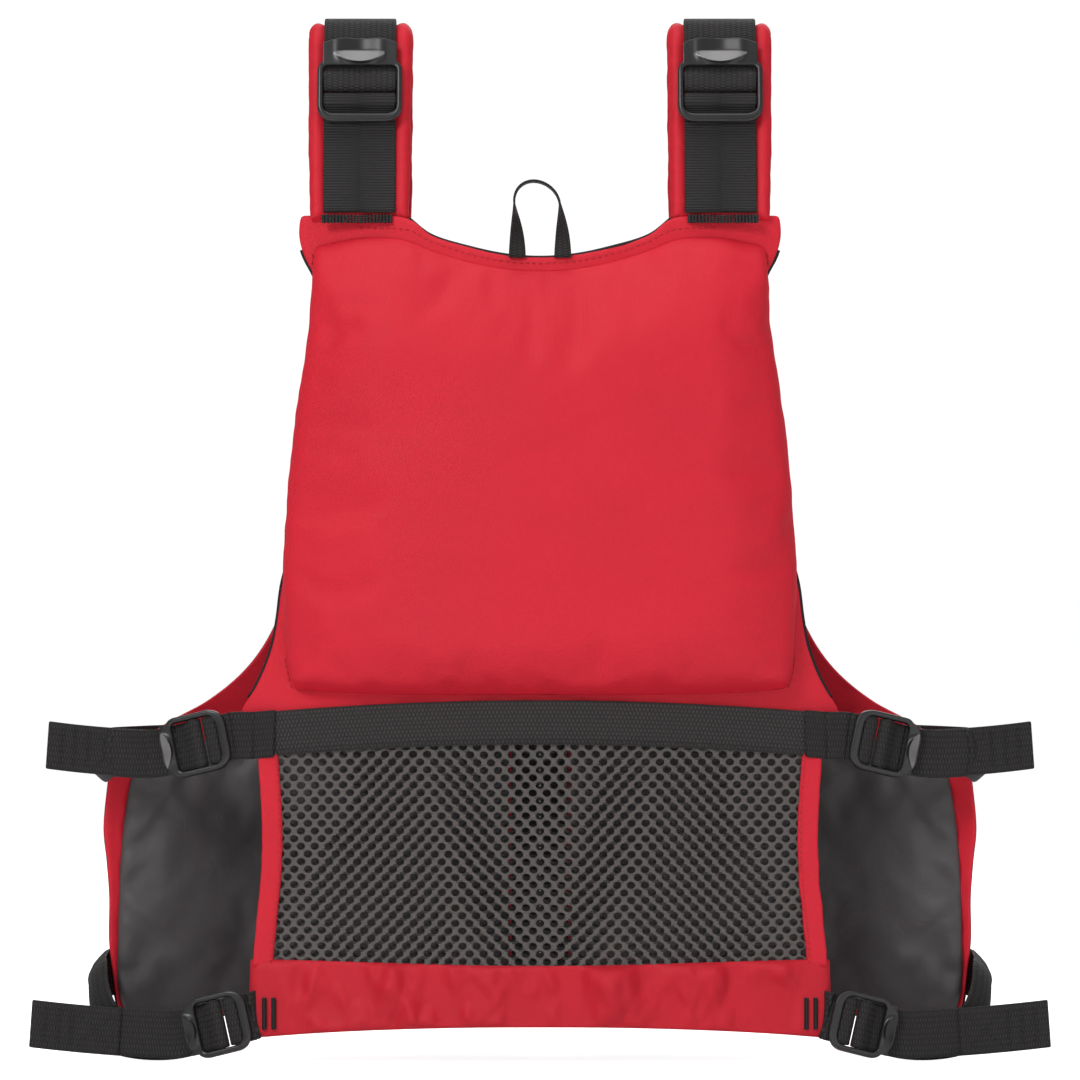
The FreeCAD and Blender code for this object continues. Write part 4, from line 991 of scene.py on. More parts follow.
def build_hem():
    """The red band below the mesh, gathered in folds that fade towards its ends."""
    low = [(-152.6, 12.2), (-120, 15.0), (-80, 17.2), (-40, 18.4), (0, 18.7)]
    top = [(-152.6, 54.0), (-130, 53.8), (-80, 52.6), (-40, 51.6), (0, 51.3)]
    left = [(-152.6, 12.2), (-153.2, 33.0), (-152.6, 54.0)]
    grid = symmetric(left, top, low, 141, 17)
    distance, where = edge_distance(grid)
    rise = crown(distance, 7.0)
    ruck = (drape(grid, 6.1, 7.6, 21.0, 44.0, 0.4) * rise + drape(grid, 2.4, 3.4, 10.0, 26.0, -0.3) * rise
            + puckers(distance, where, 8.8, 1.2, 7.0, 6.0))
    ruck = ruck * (0.12 + 0.88 * np.clip((138.0 - np.abs(grid[:, :, 0])) / 9.0, 0.0, 1.0))
    face = np.maximum(0.3 + 0.4 * rise, 1.0 + 1.8 * rise + ruck)
    # The hem's darker red is painted shade for its folds.
    hem = panel("bottom_hem_band", grid, -3.4 + np.zeros(rise.shape), face, on_back, RED_HEM_SHADED)
    modifier(hem, "SUBSURF", levels=1)
    fix(hem, "red_fabric", "bottom_hem")


def build_bar_tacks():
    """Two bars of black thread at each end of the hem: a thick core under a zigzag."""
    tacks = []
    for sign in (-1, 1):
        for near in (140.1, 145.0):
            points = [on_back(sign * near + 0.9 * zigzag(k), 17.4 + 16.2 * (k / 60), 3.9) for k in range(61)]
            tacks.append(tube("tack", points, 0.5, BLACK_THREAD, sides=6))
            core = [on_back(sign * near, 17.2 + 16.6 * k / 20, 3.1) for k in range(21)]
            tacks.append(tube("tack", core, 1.2, BLACK_THREAD))
    fix(join(tacks, "hem_thread_bars"), "webbing", "hem_bar_tacks")


WAIST_HALF, WAIST_DROP = 152.0, 7.2


def waist_height(x):
    """The height of the waist webbing's middle line, which droops a little towards its ends."""
    return 178.7 - WAIST_DROP * (x / WAIST_HALF) ** 2


def build_waist_webbing():
    """The broad webbing across the back, sewn on above the mesh, and its stitching."""
    stations, edges = [], {-1: [], 1: []}
    for k in range(121):
        x = -WAIST_HALF + 2 * WAIST_HALF * k / 120
        z = waist_height(x)
        slope = -2 * WAIST_DROP * x / WAIST_HALF ** 2
        up = Vector((-slope, 0, 1)).normalized()
        stations.append((on_back(x, z, 1.7 + 0.25 * fbm(x / 30.0, 0.0, 5.0, 2)), up, REAR))
        for side in (-1, 1):
            edges[side].append((on_back(x, z + side * 9.6, 2.7), REAR))
    fix(strip("waist_webbing_band", stations, 23.4, 1.6, WEB_WAIST), "webbing", "waist_webbing")
    fix(stitches("waist_stitching", list(edges.values()), BLACK_THREAD, 2.6, 1.0, 0.26), "webbing")


# ---------------------------------------------------------------- straps and buckles

class Place:
    """A strap's own frame: x runs along it, z out of the jacket, and y across it."""

    def __init__(self, origin, along, out):
        self.origin = Vector(origin)
        self.along = Vector(along).normalized()
        self.out = Vector(out).normalized()
        self.across = self.out.cross(self.along)

    def at(self, x, z=0.0, y=0.0):
        """The jacket's point for a place along, out of and across the strap."""
        return self.origin + self.along * x + self.across * y + self.out * z


def rearward(direction):
    """The one of a direction and its opposite that points out of the back."""
    return direction if direction.y < 0 else -direction


def side_place(x, z, roll):
    """The frame of a left-hand side buckle, with its origin on the bar that the sewn loop goes round."""
    swing = math.asin(-x / BACK_RADIUS)
    along = Vector((-math.cos(swing), math.sin(swing) * math.cos(BACK_LEAN),
                    -math.sin(swing) * math.sin(BACK_LEAN)))
    turn = math.radians(roll)
    out = rearward(BACK_UP.cross(along))
    return Place(on_back(x, z, 0.0) + out * 6.0, along * math.cos(turn) - BACK_UP * math.sin(turn), out)


def fill(path, gap):
    """The same polyline with no segment longer than gap."""
    result = [path[0]]
    for a, b in zip(path[:-1], path[1:]):
        bits = max(1, math.ceil((b - a).length / gap))
        result += [a.lerp(b, k / bits) for k in range(1, bits + 1)]
    return result


def headings(path):
    """Each point of an open path with the direction of the path there."""
    last = len(path) - 1
    return [(p, (path[min(i + 1, last)] - path[max(i - 1, 0)]).normalized()) for i, p in enumerate(path)]


def lay(place, points, radii):
    """Stations of a strap drawn in its place's side view as (x, z) points with rounded corners."""
    path = fill(rounded([(x, z, 0.0) for x, z in points], radii, 0.8), 2.2)
    stations = []
    for p, t in headings(path):
        stations.append((place.at(p.x, p.y), place.across, place.out * t.x - place.along * t.y))
    return stations


# Webbing: its thickness, the radius of its middle round a bar, and the heights of its legs at a ladder-lock.
THICK = 1.5
TURN = 2.65
LOW_LEG, HIGH_LEG = -2.85, -1.2


def loop_points(reach):
    """Round the first bar, from above to below, with the radii of the corners."""
    far = 3.3
    points = [(-reach, HIGH_LEG), (-5.6, HIGH_LEG), (-2.6, TURN), (far, TURN), (far, LOW_LEG)]
    return points, [3.0, 1.8, TURN, TURN]


def thread_points(bar, reach):
    """Round the second bar, from below to above: the two legs leave towards the tab."""
    low, high, near = 0.8 - TURN, 0.8 + TURN, 5.3
    return ([(reach, LOW_LEG), (bar + 3.0, LOW_LEG), (bar + 1.5, low), (near, low), (near, high),
             (bar + 0.4, high), (bar + 5.4, HIGH_LEG), (reach, HIGH_LEG)], [4.0, 1.2, TURN, TURN, 2.0, 3.0])


RING_POINTS, PLUMP_POINTS = 96, 14
SUPERELLIPSE = 0.55


def rounded_ring(x0, x1, half, corner_low, corner_high):
    """A closed rounded rectangle in the XY plane whose ends have corners of their own."""
    points = []
    for cx, cy, radius, start in ((x1 - corner_high, half - corner_high, corner_high, 0),
                                  (x0 + corner_low, half - corner_low, corner_low, 90),
                                  (x0 + corner_low, corner_low - half, corner_low, 180),
                                  (x1 - corner_high, corner_high - half, corner_high, 270)):
        for k in range(9):
            a = math.radians(start + 90 * k / 8)
            points.append(Vector((cx + radius * math.cos(a), cy + radius * math.sin(a), 0)))
    return evenly(points + points[:1], RING_POINTS, True)


def plump(side, out, half_side, half_out):
    """Offsets of a rounded-box section."""
    offsets = []
    for k in range(PLUMP_POINTS):
        a = 2 * math.pi * (k + 0.5) / PLUMP_POINTS
        c, s = math.cos(a), math.sin(a)
        offsets.append(side * (half_side * math.copysign(abs(c) ** SUPERELLIPSE, c))
                       + out * (half_out * math.copysign(abs(s) ** SUPERELLIPSE, s)))
    return offsets


def lock_ring(verts, faces, x0, x1, slot):
    """The ring, whose rails are deeper than its ends."""
    path = rounded_ring(x0, x1, slot + 1.5, 7.0, 4.0)
    rings = []
    for i, p in enumerate(path):
        t = (path[(i + 1) % len(path)] - path[i - 1]).normalized()
        side = Vector((t.y, -t.x, 0))
        rail = ease(unit((p.x - x0) / 5.0) * unit((x1 - p.x) / 5.0))
        wide = 1.6 * rail + (1 - rail) * (2.3 if p.x < 5 else 1.6)
        top, low = 3.9 + 0.35 * rail, 0.9 - 4.1 * rail
        centre = p + Vector((0, 0, (top + low) / 2))
        rings.append([centre + o for o in plump(side, UP, wide, (top - low) / 2)])
    sweep(verts, faces, rings, True)


def lock_bar(verts, faces, x, z, half):
    """A round bar across the ring."""
    rings = []
    for k in range(9):
        centre = Vector((x, half * (k / 4 - 1), z))
        rings.append([centre + o for o in plump(RIGHT, UP, 1.75, 1.75)])
    sweep(verts, faces, rings, False)


# The tab's grid: its columns, and its rows before, on and past the lip.
TAB_COLUMNS, NEAR_ROWS, LIP_ROWS, FAR_ROWS = 37, 3, 6, 5
TAB_ROWS = NEAR_ROWS + LIP_ROWS + FAR_ROWS + 1


def lock_tab(verts, faces, inside, front, reach, half_lip):
    """The crossbar and the tab, two skins and a wall round them. Returns the faces of the dished lip."""
    base, lip = len(verts), set()
    deep = min(7.3, front - inside - 1.0)
    for under in (False, True):
        for j in range(TAB_COLUMNS):
            y = reach * (j / (TAB_COLUMNS - 1) * 2 - 1)
            tip = front - 3.2 * (abs(y) / reach) ** 3
            bow = max(0.0, 1 - (y / half_lip) ** 2)
            low_edge = inside + 1.3 + (deep - 2.0) * min(1.0, (y / half_lip) ** 2)
            high_edge = min(max(low_edge + 0.3, inside + 1.3 + deep - 1.5 * (1 - bow)), tip - 0.6)
            for i in range(TAB_ROWS):
                if i <= NEAR_ROWS:
                    x = inside + 0.3 + (low_edge - inside - 0.3) * i / NEAR_ROWS
                elif i <= NEAR_ROWS + LIP_ROWS:
                    x = low_edge + (high_edge - low_edge) * (i - NEAR_ROWS) / LIP_ROWS
                else:
                    x = high_edge + (tip - high_edge) * (i - NEAR_ROWS - LIP_ROWS) / FAR_ROWS
                top = 4.0 + 2.4 * bow * min(1.0, (i / NEAR_ROWS) ** 2)
                top -= 0.62 * bow * max(0.0, min(x, high_edge) - low_edge) + 0.05 * max(0.0, x - high_edge)
                if under:
                    top = max(0.9, top - 1.9)
                verts.append(Vector((x, y, top)))
    size = TAB_ROWS * TAB_COLUMNS
    for j in range(TAB_COLUMNS - 1):
        dished = abs(j - (TAB_COLUMNS - 1) / 2) < half_lip / reach * TAB_COLUMNS / 2
        for i in range(TAB_ROWS - 1):
            a = base + j * TAB_ROWS + i
            if dished and NEAR_ROWS <= i < NEAR_ROWS + LIP_ROWS:
                lip.add(len(faces))
            faces.append((a, a + 1, a + TAB_ROWS + 1, a + TAB_ROWS))
            faces.append((a + size + TAB_ROWS, a + size + TAB_ROWS + 1, a + size + 1, a + size))
    rim = [j * TAB_ROWS for j in range(TAB_COLUMNS)]
    rim += [(TAB_COLUMNS - 1) * TAB_ROWS + i for i in range(1, TAB_ROWS)]
    rim += [j * TAB_ROWS + TAB_ROWS - 1 for j in range(TAB_COLUMNS - 2, -1, -1)]
    rim += list(range(TAB_ROWS - 2, 0, -1))
    for a, b in zip(rim, rim[1:] + rim[:1]):
        faces.append((base + a, base + b, base + size + b, base + size + a))
    return lip


def ladder_lock(name, place, web, back, front, bar, inside):
    """A ladder-lock: a deep rounded ring, a bar for the sewn loop, a bar for the threaded strap, and at its
    far end a crossbar and a tab with a dished, lens-shaped lip to lift it by. inside is where the ring's
    opening ends."""
    verts, faces = [], []
    slot = web / 2 + 0.4
    lock_ring(verts, faces, -back + 1.9, inside + 1.6, slot)
    lock_bar(verts, faces, 0.0, 0.0, slot + 1.2)
    lock_bar(verts, faces, bar, 0.8, slot + 1.2)
    lip = lock_tab(verts, faces, inside, front, slot + 0.2, web * 0.36)
    obj = make(name, [place.at(v.x, v.z, v.y) for v in verts], faces, BLACK_PLASTIC)
    # The dished lip's faces take the painted highlight.
    obj.data.materials.append(LIP_PAINTED_HIGHLIGHT)
    for index in lip:
        obj.data.polygons[index].material_index = 1
    modifier(obj, "BEVEL", width=0.3 * MM, segments=2, angle_limit=math.radians(50))
    modifier(obj, "SUBSURF", levels=1)
    shade(obj.data)
    return obj


# Each side lock's bar (x, z), its roll in degrees and the front of its tab; the loose ends; the front straps.
SIDE_BUCKLES = {"upper": (-171.0, 168.6, 12.0, 28.0), "lower": (-159.8, 21.3, 13.0, 26.5)}
TAIL_LENGTHS = {"upper": 57.5, "lower": 77.0}
WRAP_HEIGHTS = {"upper": 160.0, "lower": 41.0}


def tail_place(place):
    """The loose end's frame: level, and straight away from the jacket."""
    along = Vector((-1, 0.10, 0.06)).normalized()
    return Place(place.at(32.2, HIGH_LEG + 0.1), along, rearward(along.cross(BACK_UP)))


def bridge(first, last, count):
    """Stations that turn smoothly from one station to another, each a (centre, across, out, heading)."""
    (p0, a0, _, h0), (p1, a1, _, h1) = first, last
    span = (p1 - p0).length * 0.9
    result = []
    for i in range(count + 1):
        t = i / count
        centre = (p0 * (2 * t ** 3 - 3 * t ** 2 + 1) + h0 * (span * (t ** 3 - 2 * t ** 2 + t))
                  + p1 * (3 * t ** 2 - 2 * t ** 3) + h1 * (span * (t ** 3 - t ** 2)))
        tangent = (p0 * (6 * t ** 2 - 6 * t) + h0 * (span * (3 * t ** 2 - 4 * t + 1))
                   + p1 * (6 * t - 6 * t ** 2) + h1 * (span * (3 * t ** 2 - 2 * t))).normalized()
        across = a0.lerp(a1, t)
        across = (across - tangent * across.dot(tangent)).normalized()
        result.append((centre, across, tangent.cross(across)))
    return result


def front_plan(x, high):
    """The front's surface in the plan view of its own leaning frame."""
    return math.sqrt((FRONT_RADIUS + high) ** 2 - x * x) + FRONT_AXIS_Y * math.cos(FRONT_LEAN)


TOUCH = -205.0


def wrap_stations(height):
    """The strap round the wing's edge and along the outside of the front, as seen from above."""
    hug = FRONT_RADIUS + 36.3 + THICK / 2
    touch = Vector((TOUCH, front_plan(TOUCH, hug - FRONT_RADIUS), 0))
    slope = -TOUCH / math.sqrt(hug * hug - TOUCH ** 2)
    corner = Vector((WING_EDGE.x, touch.y + (WING_EDGE.x - touch.x) * slope, 0))
    path = rounded([(WING_EDGE.x, WING_EDGE.y + 0.9, 0), corner, touch], [12.0], 1.5)
    path += [Vector((x, front_plan(x, hug - FRONT_RADIUS), 0)) for x in range(-202, -175, 3)]
    path = fill(path, 2.5)
    stations = []
    for p, t in headings(path):
        stations.append((front_tilt((p.x, p.y, height)), front_tilt(UP), front_tilt((-t.y, t.x, 0))))
    return stations


def wing_curl(centre):
    """How deep a strap bows where it goes round the padded edge of the left wing."""
    near = unit((-212.0 - centre.x) / 16.0)
    beside = unit((44.0 - centre.y) / 24.0) * unit((centre.y + 52.0) / 16.0)
    return 9.0 * near * beside


def build_side_straps():
    """Four straps that pull the sides together. Each runs from the back to a ladder-lock, round its second
    bar, under the tab, and round the wing's edge to the front. The loose end hangs out to the side."""
    for level, (x, z, roll, front) in SIDE_BUCKLES.items():
        place = side_place(x, z, roll)
        buckle = "side_buckle_" + level + "_{side}"
        lock = ladder_lock("lock", place, 25.4, 8.4, front, 9.0, front - 7.4)
        # The lower locks' lips keep the plain black, without the painted highlight.
        if level == "lower":
            lock.data.materials[1] = BLACK_PLASTIC
        settle(lock, "ladder_lock_" + level, [buckle], body=buckle)
        build_sewn_loop(level, place, buckle)
        build_wing_strap(level, place, buckle)
        build_tail(level, place, buckle)


def build_sewn_loop(level, place, buckle):
    """The webbing from the back to the lock's first bar, round it and back."""
    reach = 9.6
    points, radii = loop_points(reach)
    around = lay(place, points + [(-reach, LOW_LEG)], radii)
    if level == "upper":
        starts = [on_back(-140.0 - 1.5 * k, waist_height(-140.0 - 1.5 * k), 3.2 + 0.12 * k) for k in range(8)]
    else:
        starts = [on_back(-133.0 - 1.8 * k, 26.6 - 0.13 * k, -1.6 + 0.05 * k) for k in range(9)]
    across = Vector((0.04, 0, 1)).normalized()
    lead = [(p, across, REAR) for p in starts]
    link = bridge((starts[-1], across, None, (starts[-1] - starts[-2]).normalized()),
                  (around[0][0], -place.across, None, place.along), 9)
    stations = lead + link[1:-1] + [(c, -a, o) for c, a, o in around]
    sewn = strip("sewn", stations, 25.0, THICK, WEB)
    settle(sewn, "strap_to_lock_" + level, blend=(
        ROOT, buckle, place.at(-reach - 5.0, LOW_LEG), place.at(-reach + 4.0, LOW_LEG)))


def build_wing_strap(level, place, buckle):
    """The webbing round the lock's second bar, on to the wing's edge and round it. It is two pieces that meet
    halfway."""
    points, radii = thread_points(9.0, 20.0)
    lace = [(c, -a, o) for c, a, o in reversed(lay(place, points, radii))]
    lead = [(place.at(20.0 + 2.2 * k, LOW_LEG), -place.across, -place.out) for k in range(1, 4)]
    height = WRAP_HEIGHTS[level]
    arrive = front_tilt((WING_EDGE.x + 0.6, WING_EDGE.y - 1.5, height))
    up = front_tilt(UP)
    leave = place.at(28.7, LOW_LEG)
    heading = Vector((-0.7, 0.7, (height - leave.z) / 90.0)).normalized()
    middle = Vector((WING_EDGE.x + 8.0, -45.0, leave.z + 0.08 * (height - leave.z)))
    run = bridge((leave, -place.across, None, place.along), (middle, up, None, heading), 14)
    run += bridge((middle, up, None, heading), (arrive, up, None, Vector((-0.1, 0.99, 0))), 12)[1:]
    half = 13
    first = strip("first", lace + lead + run[:half + 1], 25.4, THICK, WEB, wing_curl)
    settle(first, "strap_from_lock_" + level, ["side_lacing_" + level + "_{side}"],
           blend=(buckle, ROOT, place.at(26.0, LOW_LEG), run[half - 3][0]))
    wrap = wrap_stations(height)
    second = strip("second", run[half:] + wrap[2:], 25.4, THICK, WEB, wing_curl)
    nodes = ["side_straps_{side}", "front_straps_{side}"] if level == "upper" else []
    settle(second, "strap_round_wing_" + level, nodes,
           blend=(ROOT, "front_{side}", run[half + 4][0], wrap[4][0]))
    end, across, out = wrap[-1]
    inner = wrap[-6][0]
    box = [(end.lerp(inner, s) + across * (9.5 * y) + out * 0.8) for s, y in
           ((0.1, -1), (0.1, 1), (1, 1), (1, -1), (0.1, -1), (1, 1), (1, -1), (0.1, 1))]
    sewn = stitches("box", [[(p, out) for p in fill(box, 3.0)]], BLACK_THREAD, 2.2, 0.9, 0.3)
    settle(sewn, "strap_box_stitching_" + level, body="front_{side}")


def tail_lift(far):
    """How a loose end droops and then lifts, for a share of its length."""
    return 3.2 * far ** 2 - 2.2 * far


def build_tail(level, place, buckle):
    """The loose end: its last stretch is folded back and sewn with zigzags and a cross."""
    tail = tail_place(place)
    length, fold, step = TAIL_LENGTHS[level], 47.0, THICK + 0.15
    out_leg = lay(tail, [(0, 0), (length, 0), (length, step), (length - fold, step)], [step / 2, step / 2])
    near = [(place.at(20.0 + 2.0 * k, HIGH_LEG), place.across, place.out) for k in range(5)]
    link = bridge((near[-1][0], place.across, None, place.along),
                  (tail.at(4.0), tail.across, None, tail.along), 5)
    stations = near + link[1:-1] + [s for s in out_leg if (s[0] - tail.origin).dot(tail.along) > 4.0]
    waved = []
    for centre, across, out in stations:
        far = (centre - tail.origin).dot(tail.along) / length
        waved.append((centre + UP * tail_lift(max(0.0, far)), across, out))
    piece = strip("tail", waved, 25.2, THICK, WEB)
    end = "strap_tail_" + level + "_{side}"
    settle(piece, "loose_end_" + level, [end],
           blend=(buckle, end, place.at(20.0, HIGH_LEG), tail.at(14.0)))

    def spot(x, y):
        """A point on the folded end with the outward direction there."""
        return tail.at(x, step + THICK / 2 + 0.15, y) + UP * tail_lift(x / length), tail.out

    runs = []
    for x in (length - 7.0, length - 14.0, length - 21.0):
        runs.append([spot(x + 1.6 * zigzag(k), -10.5 + 21.0 * k / 14) for k in range(15)])
    far, mid = length - 24.0, length - 43.5
    for a, b in (((far, -9.5), (mid, 9.5)), ((far, 9.5), (mid, -9.5)), ((mid, -9.5), (mid, 9.5))):
        runs.append([spot(a[0] + (b[0] - a[0]) * k / 8, a[1] + (b[1] - a[1]) * k / 8) for k in range(9)])
    sewn = stitches("tail_sewn", runs, BLACK_THREAD, 2.0, 0.8, 0.28)
    settle(sewn, "loose_end_stitching_" + level, body=end)


# ---------------------------------------------------------------- shoulders

TOP_Z, SHOULDER_X, CROWN_GAP = 535.0, -95.6, 0.5
BACK_LEG, FRONT_LEG = math.radians(17.0), math.radians(18.0)
SHOULDER_UP = Vector((0, math.sin(BACK_LEG), math.cos(BACK_LEG)))
SHOULDER_OUT = Vector((0, -math.cos(BACK_LEG), math.sin(BACK_LEG)))
SHOULDER_LEVEL = 18.0
# How far the front ends tuck in towards the tops of the front, and where along the leg that starts and ends.
FRONT_TUCK, TUCK_START, TUCK_RUN = 18.0, 58.0, 54.0


def over_shoulder(level, back_reach, front_reach, gap=2.4):
    """Points and outward directions over a shoulder: up the back leg, round the crown and down the front leg.
    level is how far out of the legs' own lines they lie."""
    result = []
    for side, lean, reach in ((-1, BACK_LEG, back_reach), (1, FRONT_LEG, front_reach)):
        leg, count = [], max(1, int(reach / gap))
        for k in range(count + 1):
            along = reach * (1 - k / count)
            late = unit((along - TUCK_START) / TUCK_RUN) if side > 0 else 0.0
            high = level - FRONT_TUCK * ease(late)
            across = side * (CROWN_GAP + high * math.cos(lean) + along * math.sin(lean))
            up = TOP_Z + high * math.sin(lean) - along * math.cos(lean)
            leg.append((Vector((SHOULDER_X, across, up)), Vector((0, side * math.cos(lean), math.sin(lean)))))
        turn = math.pi / 2 - lean
        bits = max(8, int(turn * level / 1.6))
        for k in range(1, bits + 1):
            a = lean + turn * k / bits
            across, up = side * (CROWN_GAP + level * math.cos(a)), TOP_Z + level * math.sin(a)
            leg.append((Vector((SHOULDER_X, across, up)), Vector((0, side * math.cos(a), math.sin(a)))))
        result.append(leg)
    return result[0] + list(reversed(result[1]))


def over_strap(level, back_reach, front_reach, wave=0.0, seed=1.0):
    """Stations of webbing over a shoulder."""
    stations = []
    for k, (point, out) in enumerate(over_shoulder(level, back_reach, front_reach)):
        lift = wave * fbm(k / 9.0, seed, 0.0, 2)
        stations.append((point + out * lift, RIGHT, out))
    return stations


CROSSING = (ROOT, "front_{side}", (SHOULDER_X, -42.0, 500.0), (SHOULDER_X, 42.0, 500.0))


def build_shoulder_pads():
    """The padded red bands over the shoulders, with a rolled rim on both sides of the webbing."""
    path = over_shoulder(10.0, 98.5, 119.0, 2.0)
    marks = distances(path)

    def on_pad(x, s, high):
        """A place on the pad, at a distance s along it."""
        point, out = spot_on(path, marks, s)
        return Vector((SHOULDER_X + x, point.y, point.z)) + out * high

    total = marks[-1]
    rows, columns = 121, 27
    grid = np.zeros((rows, columns, 2))
    for j in range(rows):
        s = total * j / (rows - 1)
        f = math.sin(math.pi * min(1.0, s / total))
        for i in range(columns):
            u = i / (columns - 1) * 2 - 1
            edge = 26.3 + 1.5 * f + 0.55 * fbm(s / 9.0, 3.0 * (1 if u > 0 else -1), 2.5, 2)
            grid[j, i] = u * edge, s
    distance, where = edge_distance(grid)
    rise = crown(distance, 7.5)
    ruck = puckers(distance, where, 4.4, 1.6, 5.0, 5.5)
    roll = np.sin(math.pi * np.clip((np.abs(grid[:, :, 0]) - 18.6) / 9.6, 0.0, 1.0))
    top = 1.2 + 2.4 * rise + 2.3 * roll + ruck
    pad = panel("pad", grid, -(1.2 + 2.6 * rise) - ruck * 0.6, top, on_pad, RED_STRAP)
    modifier(pad, "SUBSURF", levels=1)
    settle(pad, "shoulder_pad", ["shoulder_pad_back_{side}", "shoulder_pad_front_{side}"],
           blend=CROSSING)


def build_shoulder_webbing():
    """Webbing over the shoulders, a large ladder-lock on each back leg and the anchor below it."""
    base = Vector((SHOULDER_X, -CROWN_GAP, TOP_Z)) + SHOULDER_OUT * SHOULDER_LEVEL - SHOULDER_UP * 34.0
    place = Place(base, SHOULDER_UP, SHOULDER_OUT)
    lock = ladder_lock("lock", place, 38.1, 12.6, 34.5, 13.0, 18.6)
    buckle = "shoulder_buckle_{side}"
    settle(lock, "ladder_lock_shoulder", [buckle], body=buckle)

    points, radii = loop_points(15.0)
    start = [(-62.0, LOW_LEG + 0.6), (-17.0, LOW_LEG + 0.6), (-12.5, HIGH_LEG)]
    stations = lay(place, start + points[1:] + [(-16.0, LOW_LEG)], [8.0, 8.0] + radii)
    anchor = strip("anchor", stations, 38.1, 1.6, WEB_RIBBED)
    settle(anchor, "shoulder_anchor", ["shoulder_anchors"],
           blend=(ROOT, "shoulder_buckle_{side}", place.at(-22.0, LOW_LEG), place.at(-9.0, LOW_LEG)))
    foot = Place(place.at(-65.9, LOW_LEG + 0.2), SHOULDER_UP, SHOULDER_OUT)
    rows = []
    for x in (-1.7, -0.6, 0.5, 1.6):
        rows.append([(foot.at(x + 0.5 * zigzag(k), 1.1, -17.5 + 37.5 * k / 40), SHOULDER_OUT)
                     for k in range(41)])
    tack = stitches("tack", rows, BLACK_THREAD, 2.4, 0.2, 0.66)
    settle(tack, "shoulder_tack", body=ROOT)

    points, radii = thread_points(13.0, 27.0)
    thread_in = lay(place, points, radii)
    lower = [(c, -RIGHT, o) for c, a, o in reversed(over_strap(15.15, 1.0, 0.5)) if c.y < -0.2]
    upper = [(c, -RIGHT, o) for c, a, o in over_strap(16.8, 1.0, 0.5) if c.y < -0.2]
    laced = strip("laced", lower + [(c, -RIGHT, -o) for c, a, o in thread_in] + upper, 38.1, THICK, WEB)
    settle(laced, "shoulder_strap_back", ["shoulder_lacing_{side}", "shoulder_webbing_back"],
           blend=("shoulder_buckle_{side}", ROOT, place.at(22.0, 0.0), (SHOULDER_X, -1.0, TOP_Z + 15.0)))
    under = [s for s in over_strap(15.15, 1.0, 107.0) if s[0].y > -0.6]
    above = [s for s in over_strap(16.8, 1.0, 62.0, 0.3, 4.0) if s[0].y > -0.6]
    load = strip("load", under, 38.1, THICK, WEB)
    settle(load, "shoulder_strap_front", ["shoulder_webbing_front_{side}"], blend=CROSSING)
    loose = strip("loose", above, 38.1, THICK, WEB)
    settle(loose, "shoulder_loose_end", blend=CROSSING)


def build_hang_loop():
    """A narrow webbing loop behind the neck: its legs lie flat against the back, and twist edge-on at the
    crown."""
    foot = on_back(0, 427.5, 0.0) + BACK_OUT * 1.4
    tall, radius, count = 24.6, 12.0, 14
    crown_height, lean = 36.6, 3.4

    def leg(side):
        """A leg's stations from its foot up: -1 for the left leg and 1 for the right one."""
        result = []
        for k in range(count + 1):
            t = k / count
            twist = math.pi / 2 * t
            centre = foot + RIGHT * (side * radius) + BACK_UP * (tall * t - 4.0 * (1 - t))
            result.append((centre, RIGHT * (-side * math.cos(twist)) - BACK_OUT * math.sin(twist),
                           BACK_OUT * math.cos(twist) - RIGHT * (side * math.sin(twist))))
        return result

    stations = leg(-1)
    for k in range(1, 24):
        a = math.pi * (1 - k / 24)
        ray = RIGHT * math.cos(a) + BACK_UP * math.sin(a)
        stations.append((foot + BACK_UP * tall + ray * radius, -BACK_OUT, -ray))
    stations += reversed(leg(1))
    leaned = []
    for centre, across, face in stations:
        rise = max(0.0, (centre - foot).dot(BACK_UP)) / crown_height
        leaned.append((centre - RIGHT * (lean * rise * rise), across, face))
    loop = strip("hang_loop_webbing", leaned, 9.0, 1.2, WEB)
    fix(loop, "webbing", "hang_loop", body="hang_loop")


# ---------------------------------------------------------------- the front

FRONT_ARM = [(-229.4, 151), (-203, 174.5), (-178, 188.5), (-161, 202), (-150, 215), (-141, 231), (-130, 258),
             (-120, 300), (-116.5, 332), (-116.4, 370), (-117.4, 404), (-118.6, 431)]
FRONT_SIDE = [(-222.5, 19), (-225.4, 28.8), (-228.2, 49), (-229.4, 64), (-229.2, 85), (-230.5, 105),
              (-232, 122), (-229.4, 151)]
FRONT_LOW = [(-222.5, 19), (-120, 21.5), (-15, 24)]
FRONT_ZIP = [(-15, 24), (-15, 345)]
FRONT_NECK = [(-15, 345), (-34, 357), (-50.6, 382.7), (-61.5, 408), (-70, 431)]
FRONT_TOP = [(-118.6, 431), (-95, 432.5), (-70, 431)]


def half_grid(side, arm, low, zip_line, neck, top, across, up):
    """The grid of one half of the front. The wing's corner and the foot of the neck keep their corners."""
    side_rows, zip_rows = int(up * 0.36), int(up * 0.72)
    left = flat(side, side_rows) + flat(arm, up - side_rows + 1)[1:]
    right = flat(zip_line, zip_rows) + flat(neck, up - zip_rows + 1)[1:]
    return coons(flat(low, across), flat(top, across), left, right)


LINING_SIDE = [(-221, 22), (-224.5, 36), (-224.6, 64), (-223.9, 92), (-222.9, 110), (-220.8, 130),
               (-217.5, 150)]
LINING_ARM = [(-217.5, 150), (-197, 160), (-176, 169), (-156, 181), (-142, 198), (-132, 230), (-124, 262),
              (-114, 302), (-110.5, 332), (-110.7, 370), (-112.6, 402), (-115, 427)]
LINING_LOW = [(-221, 22), (-120, 24), (-16, 27)]
LINING_ZIP = [(-16, 27), (-16, 342)]
LINING_NECK = [(-16, 342), (-38, 358), (-55, 384), (-65, 408), (-73, 427)]
LINING_TOP = [(-115, 427), (-95, 428), (-73, 427)]


